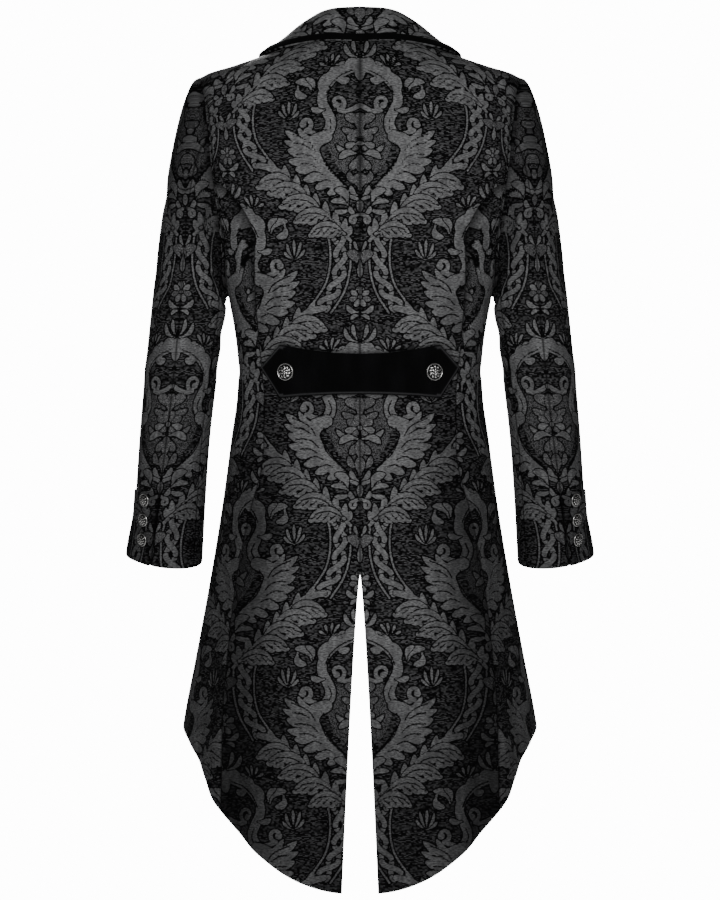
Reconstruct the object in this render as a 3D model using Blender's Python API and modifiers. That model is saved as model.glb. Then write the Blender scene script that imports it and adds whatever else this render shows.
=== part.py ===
"""A damask tailcoat in its worn form, hollow, with nobody in it.

Metres, +Z up, the front faces -Y and the wearer's left is at +X. The origin is at the base of the neck,
between the shoulders that carry the coat.

Every panel is a patch of one body form. The form is a stack of rings, each a rounded oval read from a short
table. A place on it has two numbers: u goes round the wearer's left half, 0 at the centre back, 0.5 at the
side and 1 at the centre front, and v is the drop from the neck ring down to the hem.
"""

from collections import namedtuple
from math import radians

import bmesh
import bpy
import numpy as np
from mathutils import Matrix, Vector

# ---------------------------------------------------------------- driving sizes

CLOTH = 0.0020  # wall of the damask, with its lining fused to it
VELVET = 0.0016  # wall of the velvet band and of the cuff strips
BELT = 0.0026  # wall of the doubled velvet half-belt
SEAM = 0.00026  # how far each panel keeps back from a seam line
SLEEVE_SEAM = 0.00060  # the same on the sleeves, which turn more sharply
LAP = 0.0024  # how far the sleeve head stands off the armhole edge that it is set over
REST = 0.0006  # clearance under whatever lies on a panel
BELT_REST = 0.0015  # clearance under the half-belt, at the hollow of the waist
BUTTON_REST = 0.0004  # clearance under a button

SHOULDER_DROP = 0.060  # v of the shoulder point, top of the armhole
UNDERARM_DROP = 0.300  # v of the lowest point of the armhole
ARMHOLE_REACH = 0.118  # half the armhole's width, in u
SIDE_BACK_START = 0.0  # armhole angle, in degrees, where the side-back seam starts
SIDE_BACK_TURN = 0.248  # drop where that seam has curved round to run straight down
SIDE_FRONT_START = -150.0  # armhole angle where the side-front seam starts

VENT_TOP = 0.680  # drop of the top of the back vent
VENT_AT_HEM = 0.0236  # half the vent's width at the hem
BREAK_DROP = 0.345  # drop of the top front button, where the lapels start to roll
BREAK_START = 0.74  # u of the neck ring where the front neckline starts
OVERLAP = 0.014  # how far the fronts pass the centre, in u
LAPEL_WIDTH = 0.150  # of its widest place, in u
LAPEL_NOTCH_DROP = 0.036  # drop of its outer top corner
LAPEL_NECK_DROP = 0.001  # drop of its inner top corner
LAPEL_END_DROP = 0.315  # drop where it runs out on the front's edge
LAPEL_REST = 0.0016  # clearance under it
SEAM_COLUMN = 0.02  # share of a panel's width that the narrow column at each seam takes
BACK_STRETCH = 1.12  # how much further down the centre back a row lies than at the side-back seam
FRONT_SHRINK = 0.60  # how far down the front's free edge a row lies, against the side-front seam

BELT_BUTTON = 0.0115  # radius of the half-belt's buttons
CUFF_BUTTON = 0.0088  # radius of the cuff buttons
FRONT_BUTTON = 0.0105  # radius of the front buttons

DAMASK_COLOUR = (0.022, 0.022, 0.023, 1.0)
VELVET_COLOUR = (0.004, 0.004, 0.0045, 1.0)
METAL_COLOUR = (0.42, 0.41, 0.39, 1.0)

# ---------------------------------------------------------------- tables

Ring = namedtuple("Ring", "drop z_back z_side z_front half_width y_back y_side y_front fullness")
RINGS = [
    Ring(0.000, 0.036, 0.017, -0.066, 0.085, 0.060, 0.004, -0.078, 2.00),
    Ring(0.020, 0.018, 0.0015, -0.082, 0.132, 0.079, 0.002, -0.097, 2.10),
    Ring(0.040, -0.003, -0.0118, -0.100, 0.174, 0.096, 0.000, -0.110, 2.20),
    Ring(0.060, -0.026, -0.0225, -0.118, 0.208, 0.108, -0.002, -0.119, 2.40),
    Ring(0.090, -0.062, -0.052, -0.140, 0.2115, 0.118, -0.002, -0.126, 2.50),
    Ring(0.150, -0.138, -0.130, -0.183, 0.2100, 0.128, -0.001, -0.133, 2.50),
    Ring(0.220, -0.215, -0.212, -0.233, 0.1990, 0.127, 0.000, -0.137, 2.45),
    Ring(0.280, -0.279, -0.278, -0.284, 0.1845, 0.119, 0.000, -0.135, 2.35),
    Ring(0.340, -0.340, -0.340, -0.340, 0.1700, 0.108, 0.000, -0.128, 2.25),
    Ring(0.410, -0.410, -0.410, -0.410, 0.1620, 0.098, 0.000, -0.118, 2.20),
    Ring(0.450, -0.450, -0.450, -0.450, 0.1635, 0.099, 0.000, -0.118, 2.20),
    Ring(0.500, -0.500, -0.500, -0.500, 0.1705, 0.108, 0.000, -0.123, 2.20),
    Ring(0.580, -0.580, -0.580, -0.580, 0.1812, 0.124, 0.000, -0.132, 2.20),
    Ring(0.700, -0.700, -0.700, -0.700, 0.2002, 0.137, 0.000, -0.142, 2.15),
    Ring(0.800, -0.800, -0.800, -0.800, 0.2175, 0.146, 0.000, -0.150, 2.10),
    Ring(0.870, -0.870, -0.870, -0.870, 0.2300, 0.151, 0.000, -0.155, 2.10),
    Ring(1.120, -1.120, -1.120, -1.120, 0.2450, 0.162, 0.000, -0.165, 2.10),
]

Hem = namedtuple("Hem", "u drop")
HEM = [
    Hem(0.00, 1.0915),
    Hem(0.05, 1.0880),
    Hem(0.10, 1.0765),
    Hem(0.15, 1.0560),
    Hem(0.20, 1.0310),
    Hem(0.25, 0.9985),
    Hem(0.30, 0.9620),
    Hem(0.40, 0.9080),
    Hem(0.50, 0.8740),
    Hem(0.60, 0.8190),
    Hem(0.70, 0.7430),
    Hem(0.80, 0.6560),
    Hem(0.90, 0.5640),
    Hem(0.96, 0.5080),
    Hem(1.02, 0.4780),
]

SeamRow = namedtuple("SeamRow", "drop x")
SIDE_BACK_SEAM = [
    SeamRow(0.240, 0.1370),
    SeamRow(0.285, 0.1385),
    SeamRow(0.350, 0.1360),
    SeamRow(0.410, 0.1295),
    SeamRow(0.480, 0.1255),
    SeamRow(0.540, 0.1285),
    SeamRow(0.600, 0.1440),
    SeamRow(0.700, 0.1630),
    SeamRow(0.820, 0.1730),
    SeamRow(1.000, 0.1800),
]

SideSeam = namedtuple("SideSeam", "drop u")
SIDE_FRONT_SEAM = [
    SideSeam(0.240, 0.602),
    SideSeam(0.300, 0.592),
    SideSeam(0.410, 0.600),
    SideSeam(0.550, 0.590),
    SideSeam(0.850, 0.580),
]

# Soft ridges (+) and troughs (-) that run down the skirts and grow from their top to the hem.
Fold = namedtuple("Fold", "u_top u_hem width depth top")
FOLDS = [
    Fold(0.262, 0.290, 0.026, 0.0070, 0.50),
    Fold(0.205, 0.225, 0.024, -0.0050, 0.56),
    Fold(0.345, 0.372, 0.030, -0.0045, 0.54),
    Fold(0.120, 0.135, 0.030, 0.0035, 0.66),
    Fold(0.455, 0.470, 0.034, 0.0040, 0.58),
]

# The sleeve from the armhole to the cuff: the outer and the inner side of each section, seen from behind,
# half its depth, how far forward it hangs, and how much lower its back is than its middle.
Sleeve = namedtuple("Sleeve", "along outer_x outer_z inner_x inner_z half_depth y back_drop")
SLEEVE = [
    Sleeve(0.00, 0.2085, -0.0230, 0.1808, -0.2990, 0.0600, 0.000, 0.000),
    Sleeve(0.08, 0.2225, -0.0320, 0.1812, -0.3030, 0.0625, 0.000, 0.000),
    Sleeve(0.16, 0.2380, -0.0700, 0.1806, -0.3065, 0.0648, 0.000, 0.000),
    Sleeve(0.25, 0.2525, -0.1350, 0.1796, -0.3105, 0.0665, 0.001, 0.000),
    Sleeve(0.34, 0.2620, -0.2000, 0.1784, -0.3155, 0.0672, 0.002, 0.000),
    Sleeve(0.42, 0.2695, -0.2600, 0.1772, -0.3220, 0.0667, 0.003, 0.000),
    Sleeve(0.51, 0.2768, -0.3280, 0.1790, -0.3420, 0.0650, 0.003, 0.000),
    Sleeve(0.63, 0.2858, -0.4150, 0.1890, -0.4150, 0.0620, 0.000, 0.000),
    Sleeve(0.75, 0.2933, -0.4960, 0.1993, -0.4980, 0.0580, -0.010, 0.001),
    Sleeve(0.88, 0.3000, -0.5830, 0.2063, -0.5850, 0.0540, -0.026, 0.004),
    Sleeve(1.00, 0.3060, -0.6590, 0.2115, -0.6690, 0.0515, -0.044, 0.012),
]

# Where the sleeve's two seams run: angle round the sleeve, 0 at the back and 90 at the outer side.
SleeveSeam = namedtuple("SleeveSeam", "along hind inner")
SLEEVE_SEAMS = [
    SleeveSeam(0.00, 22.0, -62.0),
    SleeveSeam(0.35, 14.0, -58.0),
    SleeveSeam(0.75, 10.0, -54.0),
    SleeveSeam(1.00, 26.0, -52.0),
]

# The collar from the centre back to its front end: where it folds over, and the place on the body form that
# the edge of the fall rests on.
Collar = namedtuple("Collar", "u fold_x fold_y fold_z edge_u edge_v")
COLLAR = [
    Collar(0.00, 0.000, 0.057, 0.0648, 0.000, 0.0238),
    Collar(0.16, 0.036, 0.049, 0.0633, 0.140, 0.0205),
    Collar(0.32, 0.058, 0.026, 0.0570, 0.300, 0.0215),
    Collar(0.48, 0.067, -0.006, 0.0425, 0.490, 0.0200),
    Collar(0.62, 0.069, -0.038, 0.0150, 0.620, 0.0245),
    Collar(0.74, 0.063, -0.068, -0.0190, 0.736, 0.0310),
]
COLLAR_STAND_OFF = 0.0044  # how far the outer face of the fall's edge lies off the body form
COLLAR_STOPS = (0.0, 0.34, 0.42, 0.50, 0.76, 1.0)  # places across it: neck, stand, fold, fall, belly, edge
COLLAR_LEVELS = (0.0, 0.18, 0.34, 0.42, 0.50, 0.66, 0.83, 1.0)
BAND_LEVELS = (0.895, 0.95, 1.0)
COLLAR_FOLD_HALF = 0.0042  # half the roll's thickness just under the fold

# Half-belt: half its height at a distance from the centre back, and the height of its middle line.
BeltRow = namedtuple("BeltRow", "x half_height middle")
HALF_BELT = [
    BeltRow(0.000, 0.0252, -0.4163),
    BeltRow(0.035, 0.0262, -0.4160),
    BeltRow(0.075, 0.0295, -0.4148),
    BeltRow(0.1055, 0.0328, -0.4140),
    BeltRow(0.1285, 0.0010, -0.4090),
]
BELT_BUTTON_X = 0.097
BELT_BUTTON_DROP = 0.4145

CUFF_STRIP_TOP = 0.835  # how far down the sleeve the strip starts
CUFF_STRIP_SETBACK = 1.5  # degrees from the hind seam to the strip's free edge
CUFF_STRIP_END = 96.0  # angle of its other edge
CUFF_STRIP_FLARE = 0.0060  # how far its lower corner stands off
CUFF_BUTTONS = (0.872, 0.911, 0.950)  # how far down the sleeve each button sits
CUFF_BUTTON_ANGLE = 47.0
FRONT_BUTTONS = (0.352, 0.402, 0.452)  # drops of the front buttons

# ---------------------------------------------------------------- reading tables


def smooth(rows, column, at):
    """Reads one column at any place, as a smooth curve through the table's rows."""
    at = np.asarray(at, float)
    knots = np.array([row[0] for row in rows])
    values = np.array([getattr(row, column) for row in rows])
    slopes = np.gradient(values, knots)
    i = np.clip(np.searchsorted(knots, at, side="right") - 1, 0, len(knots) - 2)
    step = knots[i + 1] - knots[i]
    t = np.clip((at - knots[i]) / step, 0.0, 1.0)
    return (
        (2 * t**3 - 3 * t**2 + 1) * values[i]
        + (t**3 - 2 * t**2 + t) * step * slopes[i]
        + (3 * t**2 - 2 * t**3) * values[i + 1]
        + (t**3 - t**2) * step * slopes[i + 1]
    )


def ease(x, low, high):
    """0 below low, 1 above high, and a smooth step between them."""
    t = np.clip((np.asarray(x, float) - low) / (high - low), 0.0, 1.0)
    return t * t * (3 - 2 * t)


# ---------------------------------------------------------------- the body form


def skirt_fold(u, v):
    """How far the skirt's soft folds move the cloth out."""
    out = np.zeros(np.broadcast(u, v).shape)
    for fold in FOLDS:
        centre = fold.u_top + (fold.u_hem - fold.u_top) * (v - fold.top) / (1.1 - fold.top)
        out = out + fold.depth * ease(v, fold.top, 0.95) * np.exp(-(((u - centre) / fold.width) ** 2))
    return out


def bare_form(u, v):
    """A point of the smooth body form."""
    u, v = np.broadcast_arrays(np.asarray(u, float), np.asarray(v, float))
    turn = np.pi * u
    power = 2.0 / smooth(RINGS, "fullness", v)
    across = np.abs(np.sin(turn)) ** power * np.sign(np.sin(turn))
    along = np.abs(np.cos(turn)) ** power
    behind = np.cos(turn) > 0
    y_side = smooth(RINGS, "y_side", v)
    z_side = smooth(RINGS, "z_side", v)
    y_end = np.where(behind, smooth(RINGS, "y_back", v), smooth(RINGS, "y_front", v))
    z_end = np.where(behind, smooth(RINGS, "z_back", v), smooth(RINGS, "z_front", v))
    x = smooth(RINGS, "half_width", v) * across
    return np.stack([x, y_side + (y_end - y_side) * along, z_side + (z_end - z_side) * along**2], -1)


def form(u, v, out=0.0):
    """A point of the coat's outer face, or one that stands off it."""
    u, v = np.broadcast_arrays(np.asarray(u, float), np.asarray(v, float))
    step = 1e-4
    round_ = bare_form(u + step, v) - bare_form(u - step, v)
    down = bare_form(u, v + step) - bare_form(u, np.maximum(v - step, 0.0))
    normal = np.cross(round_, down)
    normal /= np.linalg.norm(normal, axis=-1, keepdims=True)
    return bare_form(u, v) + normal * (skirt_fold(u, v) + out)[..., None]


def u_of_x(x, v, front=False):
    """Where round the ring the form is this far from the centre plane."""
    share = np.clip(np.asarray(x, float) / smooth(RINGS, "half_width", v), 0.0, 1.0)
    u = np.arcsin(share ** (smooth(RINGS, "fullness", v) / 2.0)) / np.pi
    return 1.0 - u if front else u


# ---------------------------------------------------------------- seam lines, as u at a drop


def armhole(angle):
    """(u, v) on the armhole: 90 degrees at the shoulder, 0 at the back, -90 under the arm."""
    turn = np.radians(angle)
    middle = (UNDERARM_DROP + SHOULDER_DROP) / 2
    half = (UNDERARM_DROP - SHOULDER_DROP) / 2
    return 0.5 - ARMHOLE_REACH * np.cos(turn), middle - half * np.sin(turn)


def armhole_half(v):
    """Half the armhole's width, in u, at this drop."""
    middle = (UNDERARM_DROP + SHOULDER_DROP) / 2
    half = (UNDERARM_DROP - SHOULDER_DROP) / 2
    return ARMHOLE_REACH * np.sqrt(np.clip(1 - ((v - middle) / half) ** 2, 0.0, 1.0))


def centre_back(v):
    """The centre back seam, and below it the edge of the vent."""
    x = VENT_AT_HEM * (np.clip((v - VENT_TOP) / (HEM[0].drop - VENT_TOP), 0.0, 1.0)) ** 0.75
    return u_of_x(x, v)


def side_back(v):
    """The seam that leaves the armhole level, curves round and runs down the side of the back."""
    u_start, v_start = armhole(SIDE_BACK_START)
    u_turn = u_of_x(smooth(SIDE_BACK_SEAM, "x", SIDE_BACK_TURN), SIDE_BACK_TURN)
    rise = np.clip((SIDE_BACK_TURN - v) / (SIDE_BACK_TURN - v_start), 0.0, 1.0)
    arc = u_start - (u_start - u_turn) * np.sqrt(1 - rise**2)
    return np.where(v < SIDE_BACK_TURN, arc, u_of_x(smooth(SIDE_BACK_SEAM, "x", v), v))


def side_front(v):
    """The seam between the side body and the front."""
    return smooth(SIDE_FRONT_SEAM, "u", v)


def back_outer(v):
    """The back panel's outer edge: shoulder seam, armhole, then the side-back seam."""
    start = armhole(SIDE_BACK_START)[1]
    return np.where(v < start, 0.5 - armhole_half(v), side_back(v))


def front_outer(v):
    """The front's side edge: shoulder seam, armhole, then the side-front seam."""
    start = armhole(SIDE_FRONT_START)[1]
    return np.where(v < start, 0.5 + armhole_half(v), side_front(v))


def front_inner(v):
    """The front's free edge: the neckline down to the top button, then the lap past the centre."""
    x_neck = bare_form(BREAK_START, 0.0)[0]
    x = x_neck * np.clip(1 - v / BREAK_DROP, 0.0, 1.0)
    return u_of_x(x, v, front=True) + OVERLAP * ease(v, BREAK_DROP - 0.06, BREAK_DROP)


def hem(u):
    """The drop of the hem."""
    return smooth(HEM, "drop", u)


# ---------------------------------------------------------------- meshes


def material(name, colour, roughness, metallic=0.0):
    """A plain finish of this colour."""
    made = bpy.data.materials.new(name)
    made.use_nodes = True
    shader = made.node_tree.nodes["Principled BSDF"]
    shader.inputs["Base Color"].default_value = colour
    shader.inputs["Roughness"].default_value = roughness
    shader.inputs["Metallic"].default_value = metallic
    made.diffuse_color = colour
    return made


def new_object(name, mesh, finish, collection):
    """An object in the coat's collection."""
    made = bpy.data.objects.new(name, mesh)
    collection.objects.link(made)
    mesh.materials.append(finish)
    return made


def draw_in(points, gap, sides):
    """Keeps the named sides of a grid of points back from their seam lines."""
    points = points.copy()
    ends = {"left": (0, 1, 0), "right": (0, -2, -1), "top": (1, 1, 0)}
    for side in sides:
        axis, inner, edge = ends[side]
        rows = np.moveaxis(points, axis, 0)
        step = rows[inner] - rows[edge]
        length = np.linalg.norm(step, axis=-1, keepdims=True)
        rows[edge] += step * gap / np.maximum(length, 1e-9)
    return points


def cloth(name, points, wall, finish, collection, mirrored=False):
    """A panel: a grid laid on the points, given its wall on the inner side."""
    across, down = points.shape[0] - 1, points.shape[1] - 1
    grid = bmesh.new()
    bmesh.ops.create_grid(grid, x_segments=across, y_segments=down, size=0.5)
    for vert in grid.verts:
        i = round((vert.co.x + 0.5) * across)
        j = round((vert.co.y + 0.5) * down)
        x, y, z = points[i, j]
        vert.co = (-x if mirrored else x, y, z)
    if mirrored:
        bmesh.ops.reverse_faces(grid, faces=grid.faces)
    mesh = bpy.data.meshes.new(name)
    grid.to_mesh(mesh)
    grid.free()
    mesh.shade_smooth()
    made = new_object(name, mesh, finish, collection)
    wall_maker = made.modifiers.new("Wall", "SOLIDIFY")
    wall_maker.thickness = wall
    wall_maker.offset = -1.0
    wall_maker.use_even_offset = False
    return made


def spread(columns):
    """Places across a panel, with a narrow column at each seam, so that its wall there stands square."""
    return np.array([0.0, SEAM_COLUMN, *np.linspace(0.0, 1.0, columns + 1)[1:-1], 1 - SEAM_COLUMN, 1.0])


def panel_points(columns, left, right, top, levels, out=0.0):
    """A grid of points between two seam lines, from a top edge down to the hem.

    levels holds two lists of drops, for the left and the right seam. The hem ends both.
    """
    s = spread(columns)
    u_top, v_top = top(s)
    shift = u_top - (left(v_top) * (1 - s) + right(v_top) * s)
    v_end = np.full_like(s, 0.9)
    for _ in range(40):
        v_end = (v_end + hem(left(v_end) * (1 - s) + right(v_end) * s)) / 2
    rows = []
    for drops, end in zip(levels, (0, -1)):
        reach = v_end[end] - v_top[end]
        rows.append(np.array([*((np.array(drops) - v_top[end]) / reach), 1.0]))
    share = s[:, None]
    t = rows[0][None, :] * (1 - share) + rows[1][None, :] * share
    v = v_top[:, None] + (v_end - v_top)[:, None] * t
    u = left(v) * (1 - share) + right(v) * share + shift[:, None] * (1 - ease(t, 0.0, 0.30))
    return form(u, v, out(u, v) if callable(out) else out)


# ---------------------------------------------------------------- torso

NECK_LEVELS = [0.0, 0.020, 0.040]


def armhole_levels(*angles):
    """Drops of places on the armhole."""
    return [float(armhole(angle)[1]) for angle in angles]


def side_back_levels():
    """Drops of the points that the back and the side body share along their seam."""
    start = float(armhole(SIDE_BACK_START)[1])
    arc = [SIDE_BACK_TURN - (SIDE_BACK_TURN - start) * np.sin(radians(turn)) for turn in (90, 62, 38, 16)]
    waist = [0.290, 0.335, 0.370, 0.395, 0.418, 0.441, 0.470]
    skirt = [0.510, 0.560, 0.620, 0.690, 0.760, 0.830, 0.900]
    return arc + [SIDE_BACK_TURN] + waist + skirt


def side_front_levels():
    """Drops of the points that the front and the side body share along their seam."""
    waist = [0.253, 0.267, 0.284, 0.305, 0.330, 0.355, 0.380, 0.405, 0.430, 0.455]
    skirt = [0.485, 0.520, 0.560, 0.610, 0.660, 0.710, 0.750, 0.785]
    return armhole_levels(SIDE_FRONT_START) + waist + skirt


def back_panel():
    """From the centre back seam to the shoulder, the armhole and the side-back seam."""
    outer = NECK_LEVELS + armhole_levels(90, 72, 54, 36, 18, 5) + side_back_levels()
    inner = [level * BACK_STRETCH if level > UNDERARM_DROP else level for level in outer]
    points = panel_points(8, centre_back, back_outer, neckline(0.5, 0.0), (inner, outer))
    return draw_in(points, SEAM, ("left", "right"))


def side_panel():
    """From the side-back seam to the side-front seam, below the armhole."""

    def top(s):
        return armhole(SIDE_BACK_START + (SIDE_FRONT_START - SIDE_BACK_START) * s)

    levels = side_back_levels(), side_front_levels()
    return draw_in(panel_points(4, side_back, side_front, top, levels), SEAM, ("left", "right", "top"))


def neckline(end, start):
    """The top edge of a panel, along the neck ring."""
    return lambda s: (start + (end - start) * s, np.zeros_like(s))


def stand_off(lapped):
    """The upper front passes over the other near the centre."""
    return lambda u, v: (CLOTH + REST) * ease(u, 0.86, 0.935) * lapped


def front_panel(lapped):
    """From the side-front seam to the free edge, cut away below the last button."""
    outer = NECK_LEVELS + armhole_levels(90, 112, 134, 156, 178, 200) + side_front_levels()
    inner = [level * FRONT_SHRINK for level in outer]
    top = neckline(BREAK_START, 0.5)
    points = panel_points(6, front_outer, front_inner, top, (outer, inner), stand_off(lapped))
    return draw_in(points, SEAM, ("left",))


def lapel(lapped):
    """The turned-back upper front, on the panel's own points, moved out."""
    s = np.linspace(0.0, 1.0, 5)[:, None]
    t = np.linspace(0.0, 1.0, 12)[None, :]
    v_top = LAPEL_NOTCH_DROP + (LAPEL_NECK_DROP - LAPEL_NOTCH_DROP) * s
    v = v_top + (LAPEL_END_DROP - v_top) * t
    width = LAPEL_WIDTH * (1 - t) ** 0.75 + 0.004
    u = front_inner(v) - 0.003 - width * (1 - s)
    return form(u, v, stand_off(lapped)(u, v) + CLOTH + LAPEL_REST)


# ---------------------------------------------------------------- sleeves


def sleeve_oval(angle, row):
    """A point of one of the sleeve's sections."""
    sine, cosine = np.sin(np.radians(angle)), np.cos(np.radians(angle))
    x = (row.outer_x + row.inner_x) / 2 + (row.outer_x - row.inner_x) / 2 * sine
    z = (row.outer_z + row.inner_z) / 2 + (row.outer_z - row.inner_z) / 2 * sine
    return np.stack([x, row.y + row.half_depth * cosine, z - row.back_drop * cosine], -1)


def sleeve_form(angle, along):
    """A point of the smooth sleeve. Near the armhole it takes the armhole's own line."""
    section = Sleeve(along, *(smooth(SLEEVE, name, along) for name in Sleeve._fields[1:]))
    to_armhole = form(*armhole(angle), LAP) - sleeve_oval(angle, SLEEVE[0])
    blend = (1 - ease(along, 0.0, 0.30)) ** 1.5
    return sleeve_oval(angle, section) + to_armhole * blend[..., None]


def sleeve_point(angle, along, out=0.0):
    """A point of the sleeve: angle round it, and how far down it from the armhole, 0 to 1."""
    angle, along = np.broadcast_arrays(np.asarray(angle, float), np.asarray(along, float))
    step = 1e-3
    round_ = sleeve_form(angle + 57.3 * step, along) - sleeve_form(angle - 57.3 * step, along)
    down = sleeve_form(angle, np.minimum(along + step, 1.0))
    down = down - sleeve_form(angle, np.maximum(along - step, 0.0))
    normal = np.cross(round_, down)
    normal /= np.linalg.norm(normal, axis=-1, keepdims=True)
    return sleeve_form(angle, along) + normal * np.asarray(out)[..., None]


SLEEVE_LEVELS = [0.0, 0.035, 0.08, 0.14, 0.21, 0.29, 0.38, 0.47, 0.56, 0.66, 0.77, 0.885, 1.0]


def hind_seam(along):
    """Angle of the seam behind the elbow, which runs into the cuff's vent."""
    return smooth(SLEEVE_SEAMS, "hind", along)


def inner_seam(along):
    """Angle of the seam on the sleeve's inner side."""
    return smooth(SLEEVE_SEAMS, "inner", along)


def sleeve_panel(columns, first, last):
    """The strip of the sleeve between two of its seams, given by their angles."""
    along = np.array(SLEEVE_LEVELS)[None, :]
    s = spread(columns)[:, None]
    start, end = first(along), last(along)
    return draw_in(sleeve_point(start + (end - start) * s, along), SLEEVE_SEAM, ("left", "right"))


def cuff_strip():
    """The vent strip, on the upper sleeve's points, moved out, its free corner flared."""
    s = np.linspace(0.0, 1.0, 7)[:, None]
    along = CUFF_STRIP_TOP + (1.0 - CUFF_STRIP_TOP) * np.linspace(0.0, 1.0, 7)[None, :]
    start = hind_seam(along) + CUFF_STRIP_SETBACK
    angle = start + (CUFF_STRIP_END - start) * s
    return sleeve_point(angle, along, cuff_strip_out(angle, along))


def cuff_strip_out(angle, along):
    """How far the strip's outer face lies off the sleeve."""
    return VELVET + REST + CUFF_STRIP_FLARE * ease(along, 0.90, 1.0) * ease(angle, 40.0, 90.0)


# ---------------------------------------------------------------- collar


def collar_point(s, t, out=0.0):
    """A point of the collar: s from -1 to 1 round the neck, t from the neck seam over the fold to the edge."""
    s, t = np.broadcast_arrays(np.asarray(s, float), np.asarray(t, float))
    step = 1e-3
    round_ = collar_form(np.minimum(s + step, 1.0), t) - collar_form(np.maximum(s - step, -1.0), t)
    over = collar_form(s, np.minimum(t + step, 1.0)) - collar_form(s, np.maximum(t - step, 0.0))
    normal = np.cross(round_, over)
    normal /= np.linalg.norm(normal, axis=-1, keepdims=True)
    return collar_form(s, t) + normal * np.asarray(out)[..., None]


Stop = namedtuple("Stop", "t x y z")


def collar_form(s, t):
    """A point of the smooth collar, through its neck seam, its roll and the edge of its fall."""
    u = np.abs(s) * COLLAR[-1].u
    fold = np.stack([smooth(COLLAR, name, u) for name in ("fold_x", "fold_y", "fold_z")], -1)
    edge = form(smooth(COLLAR, "edge_u", u), smooth(COLLAR, "edge_v", u), COLLAR_STAND_OFF)
    neck = bare_form(u, 0.0) + np.array([0.0, 0.0, 0.0012])
    away = (edge - fold) * np.array([1.0, 1.0, 0.0])
    away /= np.linalg.norm(away, axis=-1, keepdims=True)
    inner = neck + (fold - neck) * 0.84 - away * COLLAR_FOLD_HALF
    outer = fold + (edge - fold) * 0.13 + away * COLLAR_FOLD_HALF
    belly = fold + (edge - fold) * 0.60 + away * 0.002
    stops = dict(zip(COLLAR_STOPS, (neck, inner, fold, outer, belly, edge)))
    points = np.zeros(t.shape + (3,))
    for place in np.ndindex(t.shape):
        rows = [Stop(stop, *path[place]) for stop, path in stops.items()]
        points[place] = [float(smooth(rows, name, t[place])) for name in "xyz"]
    points[..., 0] *= np.where(s < 0, -1.0, 1.0)
    return points


def collar():
    """Stand and fall in one piece."""
    return collar_point(np.linspace(-1.0, 1.0, 24)[:, None], np.array(COLLAR_LEVELS)[None, :])


def collar_band():
    """The band along the edge of the fall, on the collar's points, moved out."""
    return collar_point(np.linspace(-1.0, 1.0, 24)[:, None], np.array(BAND_LEVELS)[None, :], VELVET + REST)


# ---------------------------------------------------------------- half-belt


def half_belt():
    """The half-belt on the back's own form, with a point at each end."""
    reach = HALF_BELT[-1].x
    x = np.array([-1.0, -0.93, -0.82, -0.7, -0.55, -0.4, -0.2, 0.0, 0.2, 0.4, 0.55, 0.7, 0.82, 0.93, 1.0])
    x = (x * reach)[:, None]
    half = np.interp(np.abs(x), [row.x for row in HALF_BELT], [row.half_height for row in HALF_BELT])
    middle = np.interp(np.abs(x), [row.x for row in HALF_BELT], [row.middle for row in HALF_BELT])
    t = np.linspace(-1.0, 1.0, 5)[None, :]
    v = -(middle - half * t)
    points = form(u_of_x(np.abs(x), v), v, BELT + BELT_REST)
    points[..., 0] *= np.sign(x)
    return points


# ---------------------------------------------------------------- buttons


def button_mesh(name, radius):
    """A domed metal button with a rolled rim and a flat back, turned about Z, as a profile for a Screw."""
    profile = [
        (0.0, 0.46),
        (0.30, 0.43),
        (0.58, 0.34),
        (0.78, 0.22),
        (0.86, 0.24),
        (0.95, 0.22),
        (1.0, 0.12),
        (0.95, 0.03),
        (0.84, 0.0),
        (0.0, 0.0),
    ]
    outline = bmesh.new()
    verts = [outline.verts.new((x * radius, 0.0, z * radius)) for x, z in profile]
    for first, second in zip(verts, verts[1:]):
        outline.edges.new((first, second))
    mesh = bpy.data.meshes.new(name)
    outline.to_mesh(mesh)
    outline.free()
    return mesh


def button(name, radius, place, outward, finish, collection):
    """A turned button whose flat back rests at the place and whose dome faces outward."""
    made = new_object(name, button_mesh(name, radius), finish, collection)
    turner = made.modifiers.new("Turn", "SCREW")
    turner.steps = turner.render_steps = 16
    turner.use_merge_vertices = True
    turner.merge_threshold = 0.00005
    turner.use_smooth_shade = True
    facing = Vector(outward).normalized()
    turned = facing.to_track_quat("Z", "Y").to_matrix().to_4x4()
    made.matrix_world = Matrix.Translation(Vector(place)) @ turned
    return made


def mirror_x(vector, mirrored):
    """The vector, or its mirror image on the coat's other side."""
    return (-vector[0], vector[1], vector[2]) if mirrored else tuple(vector)


# ---------------------------------------------------------------- the whole coat


def clear_scene():
    """Removes whatever the scene holds."""
    for old in list(bpy.data.objects):
        bpy.data.objects.remove(old)


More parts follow.
